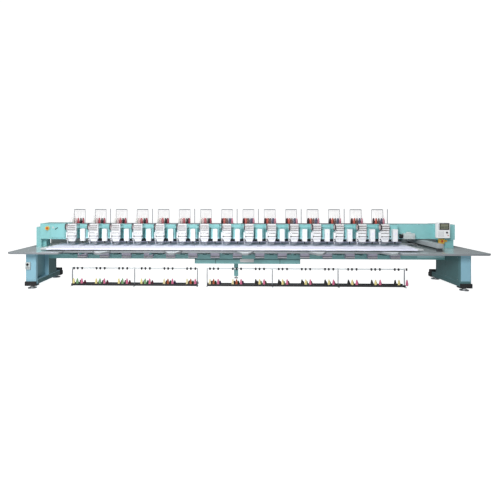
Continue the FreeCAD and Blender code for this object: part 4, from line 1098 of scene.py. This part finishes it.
def navy_rings():
    """A raised navy ring on the cloth under every chenille head."""
    centre = (CHENILLE_X, NEEDLE_Y - 0.052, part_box("fabric")[1].z - 0.0012)
    deselect()
    bpy.ops.mesh.primitive_torus_add(major_radius=0.055, minor_radius=0.006, major_segments=40,
                                     minor_segments=8, location=centre)
    ring = settle(bpy.context.object)
    open_faces(ring, lambda face: True)
    bpy.ops.transform.resize(value=(1, 0.8, 0.45), center_override=centre)
    bpy.ops.object.mode_set(mode="OBJECT")
    made = piece("navy_rings", at_heads(coloured(ring, NAVY)), "pantograph")
    made.data.materials.append(YARN)


def frame_clips():
    """Spring clips that grip the cloth along the side bars, and the joint plates of the long bars."""
    low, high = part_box("pantograph_frame")
    inset = 0.030
    clip = pressed(block((-0.018, -0.030, high.z), (0.018, 0.030, high.z + 0.005), 0.0015), UP, 0.006, 0.002)
    spots = [(x, low.y + 0.20 + k * 0.19, 0) for x in (low.x + inset, high.x - inset) for k in range(5)]
    splice = pressed(block((-0.060, -0.026, high.z), (0.060, 0.026, high.z + 0.004), 0.001), UP, 0.010, 0.001)
    joints = [(low.x + (high.x - low.x) * share, high.y - inset, 0) for share in (0.2, 0.4, 0.6, 0.8)]
    parts = joined(tinted(copied(clip, spots), "white_enamel"), tinted(copied(splice, joints), "aluminium"))
    piece("frame_clips", parts, "pantograph")


# ---------------------------------------------------------------- end frames and housings

def louvres(low, high):
    """A row of pressed cooling slats on the back wall of a housing."""
    count = 8
    x0, x1, z0, z1, y = low[0], high[0], low[2] + 0.06, low[2] + 0.18, high[1]
    pitch = (z1 - z0) / count
    slat = block((x0, y, z0), (x1, y + 0.005, z0 + pitch * 0.6), 0.0)
    shrunk(slat, UP, (0.96, 0.25, 1), ((x0 + x1) / 2, y, z0))
    return tinted(in_row(ease(slat, 0.0008, 1), count, (0.0, 0.0, pitch)), "teal_paint")


def side_panel(x, y0, y1, z0, z1, towards, thick=0.0015, rim=0.010, finish="painted_shade_and_seam_teal"):
    """A thin pressed panel on a side wall at x, dark by default as painted shade. towards is LEFT or RIGHT.
    """
    far = x + towards[0] * thick
    panel = block((min(x, far), y0, z0), (max(x, far), y1, z1), 0.0005)
    return tinted(pressed(panel, towards, rim, 0.001), finish)


def leg_trim():
    """Screws and seam plates of both end frames, and the pale line along the left rear column."""
    left_low, left_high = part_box("left_end_frame")
    right_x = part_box("right_end_frame")[0].x
    inner_x = left_high.x
    width, front, floor = 0.220, left_low.y, left_low.z
    parts = []
    for x0 in (inner_x - width, right_x):
        x0, x1, z0, z1 = x0 + 0.010, x0 + width - 0.010, floor + 0.118, left_high.z - 0.010
        parts.append(facing(x0, x1, z0, z1, front, 0.002, "frame_paint", 0.001, 0.002, -0.0008))
        parts.append(screws(corners((x0, 0, z0), (x1, 0, z1), 0.016, front - 0.0026), FRONT, 0.006))
    parts.append(screws([(right_x - 0.0012, y, z) for y in (-0.50, -0.03) for z in (0.22, 0.68)], LEFT,
                        0.006))
    rear, back, top, base_top = 0.001, 0.412, left_high.z - 0.02, 0.104
    # The dark side panels are painted shade on the inner sides of both legs.
    parts += [side_panel(inner_x, rear + 0.008, back, floor + base_top, top, RIGHT, rim=0.012),
              side_panel(inner_x, front + 0.075, 0.60, floor + 0.006, floor + 0.094, RIGHT, rim=0.008),
              # This panel, in a darker teal, is painted shade in the recess of the left leg.
              side_panel(inner_x - 0.094, front + 0.075, rear - 0.004, floor + base_top, top, RIGHT, 0.002,
                         finish="painted_recess_shade"),
              side_panel(right_x, front + 0.075, -0.004, floor + base_top, floor + 0.66, LEFT),
              side_panel(right_x, 0.004, back, floor + base_top, floor + 0.66, LEFT),
              side_panel(right_x, front + 0.020, 0.66, floor + 0.006, floor + 0.094, LEFT)]
    rim = block((inner_x - 0.003, rear, floor + 0.106), (inner_x + 0.001, rear + 0.006, left_high.z), 0.001)
    parts.append(tinted(rim, "pale_teal"))
    piece("leg_trim", joined(*parts), FRAME_BODY)


def foot_ribs():
    """Ribbed toe caps on the black foot blocks, and caps over the rear ends of the base beams."""
    low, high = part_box("foot_blocks")
    width = 0.240
    rib = block((0.012, low.y - 0.004, low.z + 0.016), (width - 0.012, low.y, low.z + 0.022), 0.0015)
    ribs = in_row(rib, 5, (0, 0, 0.016))
    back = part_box("left_end_frame")[1].y
    cap = block((0.002, back - 0.125, low.z + 0.012), (width - 0.002, back + 0.012, low.z + 0.170), 0.010)
    for side in (LEFT, RIGHT):
        pressed(cap, side, 0.014, 0.003)
    xs = (low.x, high.x - width)
    piece("foot_ribs", joined(along_x(ribs, xs), along_x(cap, xs)), FRAME_BODY, "cast_black")


def foot_nuts():
    """Lock nuts and threads over the levelling pads."""
    leg_x = 4.575
    nut = turned((0, 0, 0.020), UP, [(0.044, 0.0), (0.046, 0.003), (0.046, 0.017), (0.040, 0.020)], 6)
    washer = turned((0, 0, 0.018), UP, [(0.060, 0.0), (0.058, 0.002)], 24)
    shifts = [(x, y, 0) for x in (-leg_x, leg_x) for y in (-0.540, 0.670)]
    piece("foot_nuts", copied(joined(nut, washer), shifts), FRAME_BODY, "galvanised")


def housing_trim():
    """Seams, vents, screws and lid of the left housing, and the vents and screws of the right one."""
    low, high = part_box("left_housing")
    door_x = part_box("housing_door")[0].x
    front, back = low.y, high.y
    parts = [facing(low.x + 0.012, door_x - 0.006, low.z + 0.012, high.z - 0.012, front, 0.002, "teal_paint",
                    0.001, 0.003, 0.001)]
    parts.append(screws(corners(low, (door_x, 0, high.z), 0.022, front - 0.002), FRONT, 0.005))
    lid = block((low.x - 0.004, front - 0.004, high.z - 0.001), (high.x + 0.001, back, high.z + 0.004),
                0.0015)
    parts.append(tinted(lid, "teal_paint"))
    parts.append(louvres((low.x + 0.10, 0, low.z), (high.x - 0.10, back, 0)))
    parts.append(screws(corners(low, high, 0.018, back), BACK, 0.005))
    low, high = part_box("right_housing")
    parts.append(louvres((low.x + 0.06, 0, low.z), (high.x - 0.06, high.y, 0)))
    parts.append(screws(corners(low, high, 0.018, high.y), BACK, 0.005))
    parts.append(screws([(high.x - 0.020, low.y, z) for z in (low.z + 0.03, high.z - 0.03)], FRONT, 0.005))
    piece("housing_trim", joined(*parts), FRAME_BODY)


def door_trim():
    """The pressed field of the door, its dial and the dial's needle."""
    low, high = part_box("housing_door")
    face = low.y + 0.0015
    field = block((low.x + 0.012, face - 0.0015, low.z + 0.012),
                  (high.x - 0.020, face + 0.001, high.z - 0.012), 0.001)
    parts = [tinted(pressed(field, FRONT, 0.004, 0.0012), "teal_paint")]
    x, z = low.x + 0.066, high.z - 0.072
    dial = turned((x, face - 0.0015, z), FRONT, [(0.020, 0.0), (0.020, 0.008), (0.017, 0.010),
                                                 (0.015, 0.006)], 32)
    parts.append(tinted(dial, "grey_paint"))
    parts.append(facing(x - 0.002, x + 0.002, z, z + 0.012, face - 0.0082, 0.0018, "red_plastic", 0.0004))
    piece("door_trim", joined(*parts), "housing_door")


def tower_trim():
    """Lids and screws of the towers that carry the beam."""
    low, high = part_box("end_towers")
    base = low.z
    parts = [facing(low.x + 0.010, low.x + 0.106, base + 0.020, base + 0.440, 0.060, 0.002, "teal_paint",
                    0.001, 0.003, 0.001)]
    parts.append(screws(corners((low.x, 0, base + 0.010), (low.x + 0.116, 0, base + 0.450), 0.018, 0.058),
                        FRONT, 0.004))
    parts.append(facing(high.x - 0.183, high.x - 0.010, base + 0.014, base + 0.175, 0.070, 0.002,
                        "teal_paint", 0.001,
                        0.003, 0.001))
    flange = block((high.x - 0.200, 0.062, base), (high.x + 0.006, 0.470, base + 0.008), 0.002)
    parts.append(tinted(flange, "teal_paint"))
    piece("tower_trim", joined(*parts), FRAME_BODY)


def beam_trim():
    """A wiring duct, cable glands and access covers along the back of the upper beam."""
    low, high = BEAM_LOW, BEAM_HIGH
    x0, x1, back, lid_y = low.x + 0.05, high.x - 0.05, high.y, high.y + 0.045
    parts = [tinted(block((x0, back, low.z + 0.20), (x1, lid_y, low.z + 0.26), 0.002), "grey_paint"),
             tinted(block((x0, lid_y, low.z + 0.206), (x1, lid_y + 0.003, low.z + 0.254), 0.001),
                    "white_plastic")]
    steps = [(0.016, 0.0), (0.016, 0.010), (0.012, 0.014), (0.012, 0.022)]
    gland = turned((0, back, low.z + 0.150), BACK, steps, 6, 0.001)
    parts.append(tinted(along_x(gland, [CHENILLE_X + step for step in HEAD_STEPS]), "black_plastic"))
    cover = block((-0.150, back, low.z + 0.030), (0.150, back + 0.004, low.z + 0.120), 0.0012)
    pressed(cover, BACK, 0.006, 0.0012)
    parts.append(tinted(along_x(cover, [CHENILLE_X + step + PITCH / 2 for step in HEAD_STEPS]), "teal_paint"))
    piece("beam_trim", joined(*parts), FRAME_BODY)


def duct_trim():
    """Lids, ends and inner band of the cable duct at the back of the table; the band is lilac painted shade.
    """
    low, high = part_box("rear_duct")
    count = 8
    length = (high.x - low.x) / count
    x0, x1 = low.x + 0.004, low.x + length - 0.004
    lid = block((x0, low.y + 0.002, high.z), (x1, high.y - 0.002, high.z + 0.003), 0.001)
    back = block((low.x + 0.02, high.y, low.z + 0.012), (low.x + length - 0.02, high.y + 0.002,
                                                         high.z - 0.012), 0.0008)
    pressed(back, BACK, 0.004, 0.001)
    parts = [tinted(in_row(part, count, (length, 0, 0)), "grey_paint") for part in (lid, back)]
    reach = 4.80
    for start, end, top in ((-reach, low.x, high.z + 0.025), (high.x, reach, high.z + 0.035)):
        box = block((start, low.y + 0.004, low.z), (end, high.y - 0.004, top), 0.002)
        parts.append(tinted(pressed(box, FRONT, 0.008, 0.001), "mid_grey"))
    # A lilac band on the duct front: painted shade standing in for the shaded cloth behind the heads.
    parts.append(facing(x0, high.x - 0.004, low.z + 0.001, low.z + 0.056, low.y, 0.006, "lilac_window_and_painted_shade",
                        0.0015, 0.004, 0.001))
    piece("duct_lids", joined(*parts), FRAME_BODY)


def lower_beam_trim():
    """Light upper edge, seams and a blank plate on the lower beam, and the mint plate under its right end."""
    low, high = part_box("lower_beam")
    front, under = low.y, 0.558
    parts = [facing(low.x + 0.005, high.x - 0.005, high.z - 0.010, high.z - 0.002, front, 0.003, "pale_teal")]
    for x in (-1.12, -0.655, 0.80, 1.25):
        parts.append(facing(x - 0.006, x + 0.006, low.z, under, front, 0.002, "painted_shade_and_seam_teal", 0.0008))
    parts += [facing(-1.118, 1.248, under - 0.020, under - 0.002, front, 0.002, "painted_shade_and_seam_teal", 0.0008),
              facing(-0.101, 0.214, 0.484, 0.561, front, 0.004, "white_enamel", 0.0015, 0.005, 0.001),
              facing(3.858, 4.462, 0.602, 0.648, front, 0.006, "pale_teal", 0.0015, 0.004, 0.0012)]
    piece("lower_beam_trim", joined(*parts), FRAME_BODY)


# ---------------------------------------------------------------- drives

def drive_trim():
    """Cooling fins, terminal box and fan cap of the drive motor."""
    low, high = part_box("drive_motor")
    x0 = low.x + 0.078
    fin = block((x0 + 0.010, low.y - 0.004, low.z + 0.012), (x0 + 0.014, low.y, high.z - 0.012), 0.001)
    terminals = block((x0 + 0.080, low.y + 0.020, high.z), (x0 + 0.170, low.y + 0.090, high.z + 0.030), 0.003)
    cap = turned((high.x, low.y + 0.055, (low.z + high.z) / 2), RIGHT,
                 [(0.048, 0.0), (0.048, 0.008), (0.040, 0.014), (0.012, 0.016)], 28, 0.001)
    parts = joined(tinted(in_row(fin, 22, (0.0105, 0, 0)), "grey_paint"),
                   tinted(pressed(terminals, UP, 0.006, 0.002), "grey_paint"), tinted(cap, "black_plastic"))
    piece("motor_trim", parts, FRAME_BODY)


def x_drive_shell():
    """The long cover of the X drive, which falls a little to the front, its stands and its belt."""
    low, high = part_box("x_drive_cover")
    foot = low.z + 0.070
    shell = block((low.x, low.y, foot), (high.x, high.y, high.z), 0.0)
    shrunk(shell, FRONT, (1, 1, 0.85), (low.x, low.y, foot))
    parts = [tinted(ease(pressed(shell, RIGHT, 0.012, 0.002), 0.003), "mid_grey")]
    for inset, y0, y1, face in ((0.012, low.y + 0.030, low.y + 0.080, FRONT),
                                (0.006, high.y - 0.050, high.y, BACK)):
        stand = block((low.x + inset, y0, low.z), (high.x - inset, y1, foot), 0.002)
        parts.append(tinted(pressed(stand, face, 0.010, 0.002), "dark_grey"))
    belt_z = low.z + 0.040
    belt = block((low.x + 0.030, low.y + 0.080, belt_z), (high.x - 0.030, high.y - 0.050, belt_z + 0.006),
                 0.001)
    parts.append(tinted(belt, "black_plastic"))
    parts.append(screws([(low.x, y, foot + 0.012) for y in (-0.5, -0.1, 0.3, 0.7)], LEFT, 0.004))
    piece("x_drive_shell", joined(*parts), FRAME_BODY, replaces=("x_drive_cover",))


# ---------------------------------------------------------------- thread racks

def rack_trim():
    """Guide bars with their eyelets, spool pins, and caps of the rack posts."""
    guide_z = RACK_HIGH.z - 0.012
    bar = rod((FLAT_X - 0.128, GUIDE_Y, guide_z), (FLAT_X + 0.128, GUIDE_Y, guide_z), 0.008, 10, 0.001)
    eye = turned((0, GUIDE_Y, guide_z), UP, [(0.004, 0.0), (0.004, 0.004), (0.0025, 0.005)], 10)
    pin = turned((0, 0, CONES_HIGH.z - 0.002), UP, [(0.004, 0.0), (0.004, 0.010), (0.002, 0.013)], 8)
    cap = turned((0, GUIDE_Y, RACK_HIGH.z - 0.003), UP, [(0.009, 0.0), (0.009, 0.004), (0.005, 0.007)], 16)
    capped = (1, 3, 5, 7, 8, 10, 12, 14)
    parts = joined(at_heads(tinted(bar, "dark_grey")),
                   tinted(at_heads(along_x(eye, beside_needles(0.0, GUIDE_STEP))), "steel"),
                   tinted(at_heads(copied(pin, [(x, y, 0) for x, y in cone_places()])), "white_plastic"),
                   tinted(along_x(cap, [CHENILLE_X + HEAD_STEPS[k] for k in capped]), "black_plastic"))
    piece("rack_trim", parts, FRAME_BODY)


def rack_spans(post_xs):
    """The end posts of each floor rack: a short step between two posts is the gap between two racks."""
    rack_gap = 0.6
    spans = [[post_xs[0]]]
    for here, ahead in zip(post_xs, post_xs[1:]):
        if ahead - here < rack_gap:
            spans.append([])
        spans[-1].append(ahead)
    return [(span[0], span[-1]) for span in spans]


def floor_rack_trim():
    """Clamps, feet, thread sleeves, guide rails and tray lips of the floor racks."""
    low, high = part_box("lower_racks")
    bottom = TUBES_LOW.z
    middle, guide_y = (low.y + high.y) / 2, (TUBES_LOW.y + TUBES_HIGH.y) / 2
    post_xs = centres("lower_racks", lambda p: p.z > high.z - 0.001)
    spans = rack_spans(post_xs)
    tube_xs = centres("lower_guides", lambda p: p.z < bottom + 0.001)
    clamp = block((-0.013, middle - 0.016, bottom + 0.020), (0.013, middle + 0.016, bottom + 0.042), 0.002)
    foot = block((-0.016, low.y, 0.001), (0.016, low.y + 0.040, 0.018), 0.004)
    sleeve_steps = [(0.014, 0.0), (0.019, 0.005), (0.019, 0.050), (0.014, 0.055)]
    sleeve = turned((0, TUBES_LOW.y + 0.011, bottom), UP, sleeve_steps, 14)
    rails = [pressed(block((x0, guide_y - 0.006, bottom + 0.016), (x1, guide_y + 0.006, bottom + 0.042),
                           0.002),
                     FRONT, 0.004, 0.001) for x0, x1 in spans]
    tray_z = low.z + 0.024
    lips = [block((x0, y - 0.002, tray_z), (x1, y + 0.002, tray_z + 0.040), 0.0015)
            for x0, x1 in spans for y in (low.y + 0.020, low.y + 0.172)]
    parts = joined(tinted(along_x(clamp, post_xs), "grey_paint"),
                   tinted(along_x(foot, post_xs), "pale_frame"),
                   tinted(along_x(sleeve, tube_xs), "black_plastic"), tinted(joined(*rails), "pale_frame"),
                   tinted(joined(*lips), "cast_black"))
    piece("floor_rack_trim", parts, FRAME_BODY)


# ---------------------------------------------------------------- controls

def panel_face():
    """Screen, bezel, keys, lamp and rear lid of the control panel."""
    low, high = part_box("control_panel")
    middle, front = low.x + 0.144, low.y
    x0, x1, z0, z1 = middle - 0.076, middle + 0.124, low.z + 0.188, low.z + 0.322
    bezel = block((x0 - 0.006, front - 0.005, z0 - 0.006), (x1 + 0.006, front + 0.003, z1 + 0.006), 0.002)
    parts = [tinted(pressed(bezel, FRONT, 0.018, 0.004), "cast_black")]
    glass = block((x0 + 0.013, front - 0.002, z0 + 0.013), (x1 - 0.013, front - 0.001, z1 - 0.013), 0.0)
    glass.data.materials.append(SCREEN)
    parts.append(glass)
    left, bottom, width, height = x0 + 0.015, z0 + 0.015, x1 - x0 - 0.03, z1 - z0 - 0.03
    for u0, u1, v0, v1 in ((0.55, 0.92, 0.14, 0.30), (0.55, 0.92, 0.36, 0.52), (0.08, 0.48, 0.14, 0.52)):
        parts.append(facing(left + u0 * width, left + u1 * width, bottom + v0 * height, bottom + v1 * height,
                            front - 0.0019, 0.0009, "dark_olive", 0.0003, 0.003, 0.0006))
    key = facing(-0.009, 0.009, -0.006, 0.006, front, 0.004, "pale_grey", 0.002)
    key_pitch, key_rise = 0.026, 0.024
    spots = [(middle - 0.100 + k * key_pitch, 0,
              low.z + 0.040 + row * key_rise) for k in range(5) for row in range(5)]
    parts.append(copied(key, spots))
    soft_key = facing(-0.010, 0.010, -0.008, 0.008, front, 0.004, "pale_grey", 0.002)
    parts.append(copied(soft_key, [(middle - 0.104, 0, z0 + 0.012 + row * key_pitch) for row in range(5)]))
    lamp_steps = [(0.010, 0.0), (0.010, 0.006), (0.006, 0.009)]
    parts.append(tinted(turned((middle + 0.104, front, low.z + 0.060), FRONT, lamp_steps, 20), "red_plastic"))
    rear = block((middle - 0.110, -0.070, low.z + 0.030), (middle - 0.050, -0.066, high.z - 0.030), 0.0015)
    parts.append(tinted(pressed(rear, BACK, 0.006, 0.001), "white_plastic"))
    piece("panel_face", joined(*parts), "control_panel")


def knob_place(node):
    """The lowest and highest Y of a round node on the Y axis, its middle X and Z, and its radius."""
    low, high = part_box(node)
    return low.y, high.y, (low.x + high.x) / 2, (low.z + high.z) / 2, (high.x - low.x) / 2


def jog_dial():
    """The knurled dial of the control panel, with a finger dimple."""
    front, back, x, z, radius = knob_place("panel_knob")
    steps = [(radius, 0.0), (radius, 0.004), (radius * 0.9, 0.006), (radius * 0.86, 0.019),
             (radius * 0.74, 0.022)]
    parts = [turned((x, back, z), FRONT, steps, 36)]
    grip = block((x - 0.0012, front + 0.003, z + radius * 0.86),
                 (x + 0.0012, back - 0.006, z + radius * 0.93), 0.0004)
    there, home = Matrix.Translation((x, 0, z)), Matrix.Translation((-x, 0, -z))
    ribs = 18
    for k in range(ribs):
        rib = grip.copy()
        rib.data = grip.data.copy()
        rib.data.transform(there @ Matrix.Rotation(k * math.tau / ribs, 4, "Y") @ home)
        bpy.context.scene.collection.objects.link(rib)
        parts.append(rib)
    bpy.data.objects.remove(grip)
    dimple_at = (x + radius * 0.4, front + 0.0003, z + radius * 0.3)
    parts.append(turned(dimple_at, FRONT, [(0.004, 0.0), (0.0025, 0.0012)], 14))
    piece("jog_dial", joined(*parts), "panel_knob", "black_plastic",
          replaces=("panel_knob",))


def mushrooms():
    """The domed emergency buttons on their stems."""
    head = 0.016
    for side in ("right", "left"):
        node = side + "_stop_button"
        front, back, x, z, radius = knob_place(node)
        stem = back - front - head
        steps = [(0.011, 0.0), (0.011, stem), (radius * 0.9, stem), (radius, stem + 0.003),
                 (radius, stem + head * 0.45), (radius * 0.86, stem + head * 0.75),
                 (radius * 0.55, stem + head * 0.94), (radius * 0.2, stem + head)]
        button = turned((x, back, z), FRONT, steps, 32)
        piece(side + "_mushroom", button, node, "red_plastic", replaces=(node,))


def stop_trim():
    """Collars round both emergency buttons, and screws on the right one's box."""
    right_face, left_face, half, box_z = -0.017, -0.034, 0.054, 0.975
    parts = []
    for node, face in (("right_stop_button", right_face), ("left_stop_button", left_face)):
        _, _, x, z, _ = knob_place(node)
        deselect()
        bpy.ops.mesh.primitive_torus_add(major_radius=0.0255, minor_radius=0.003, major_segments=32,
                                         minor_segments=8, location=(x, face, z),
                                         rotation=(math.pi / 2, 0, 0))
        parts.append(tinted(settle(bpy.context.object), "cast_black"))
    x = knob_place("right_stop_button")[2]
    spots = corners((x - half, 0, box_z - half), (x + half, 0, box_z + half), 0.013, right_face)
    parts.append(screws(spots, FRONT, 0.004))
    piece("stop_trim", joined(*parts), FRAME_BODY)


def switch_trim():
    """The front plate of the main switch on the left leg."""
    low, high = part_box("leg_switch_box")
    plate = facing(low.x + 0.012, high.x - 0.012, low.z + 0.012, low.z + 0.060, low.y, 0.0015, "mid_grey",
                   0.0005, 0.003, 0.0006)
    piece("switch_plate", plate, FRAME_BODY)


for make in (upper_cones, lower_cones, upper_threads, lower_yarns, tension_dials, thread_hooks,
             case_threads, case_trim, lever_guard, case_aprons, idle_levers, idle_feet, sequin_tapes,
             sequin_feeders, break_lamps, chenille_trim, arm_trim, looper_trim, table_edging, table_fixings,
             tongue_plates, tongue_braces, fabric_sheet, border_cloth, navy_rings, frame_clips,
             leg_trim, foot_ribs, foot_nuts, housing_trim, door_trim, tower_trim, beam_trim, duct_trim,
             lower_beam_trim, drive_trim, x_drive_shell, rack_trim, floor_rack_trim, panel_face, jog_dial,
             stop_trim, switch_trim, mushrooms):
    make()


FLOOR_GLOW = 0.22
ROOM_GLOW = 0.2
KEY_WATTS = 1150.0
TOP_WATTS = 400.0


def studio():
    """White floor and room, a soft key from the front left, and the camera."""
    bpy.ops.mesh.primitive_plane_add(size=90.0, location=(0.0, 20.0, 0.0))
    floor = bpy.context.object
    floor.name = "floor"
    material, tree, shader = blank("floor_white", Roughness=0.7, Base_Color=(0.5, 0.5, 0.5, 1.0),
                                   Emission_Color=(1.0, 1.0, 1.0, 1.0))
    seen = tree.nodes.new("ShaderNodeLightPath").outputs["Is Camera Ray"]
    tree.links.new(ramp(tree, seen, 0.0, 1.0, FLOOR_GLOW, 0.93), shader.inputs["Emission Strength"])
    floor.data.materials.append(material)

    world = bpy.data.worlds.new("room")
    bpy.context.scene.world = world
    world.use_nodes = True
    nodes, links = world.node_tree.nodes, world.node_tree.links
    glow = nodes["Background"]
    glow.inputs["Color"].default_value = (0.95, 0.98, 1.0, 1.0)
    seen = nodes.new("ShaderNodeLightPath").outputs["Is Camera Ray"]
    links.new(ramp(world.node_tree, seen, 0.0, 1.0, ROOM_GLOW, 1.1), glow.inputs["Strength"])

    soft_light("key", (-3.0, -11.0, 6.0), 4.0, KEY_WATTS)
    soft_light("top", (-1.0, -2.5, 8.0), 6.0, TOP_WATTS)

    lens = bpy.data.cameras.new("camera")
    camera = bpy.data.objects.new("camera", lens)
    bpy.context.scene.collection.objects.link(camera)
    camera.location = (-0.2944, -9.1868, 1.9463)
    camera.rotation_euler = (math.pi / 2, 0.0, 0.0257)
    lens.lens = 29.30
    lens.sensor_width = 36.0
    lens.shift_x = 0.0581
    lens.shift_y = -0.1048
    lens.clip_end = 200.0
    bpy.context.scene.camera = camera
    bpy.context.scene.view_settings.view_transform = "Standard"


studio()
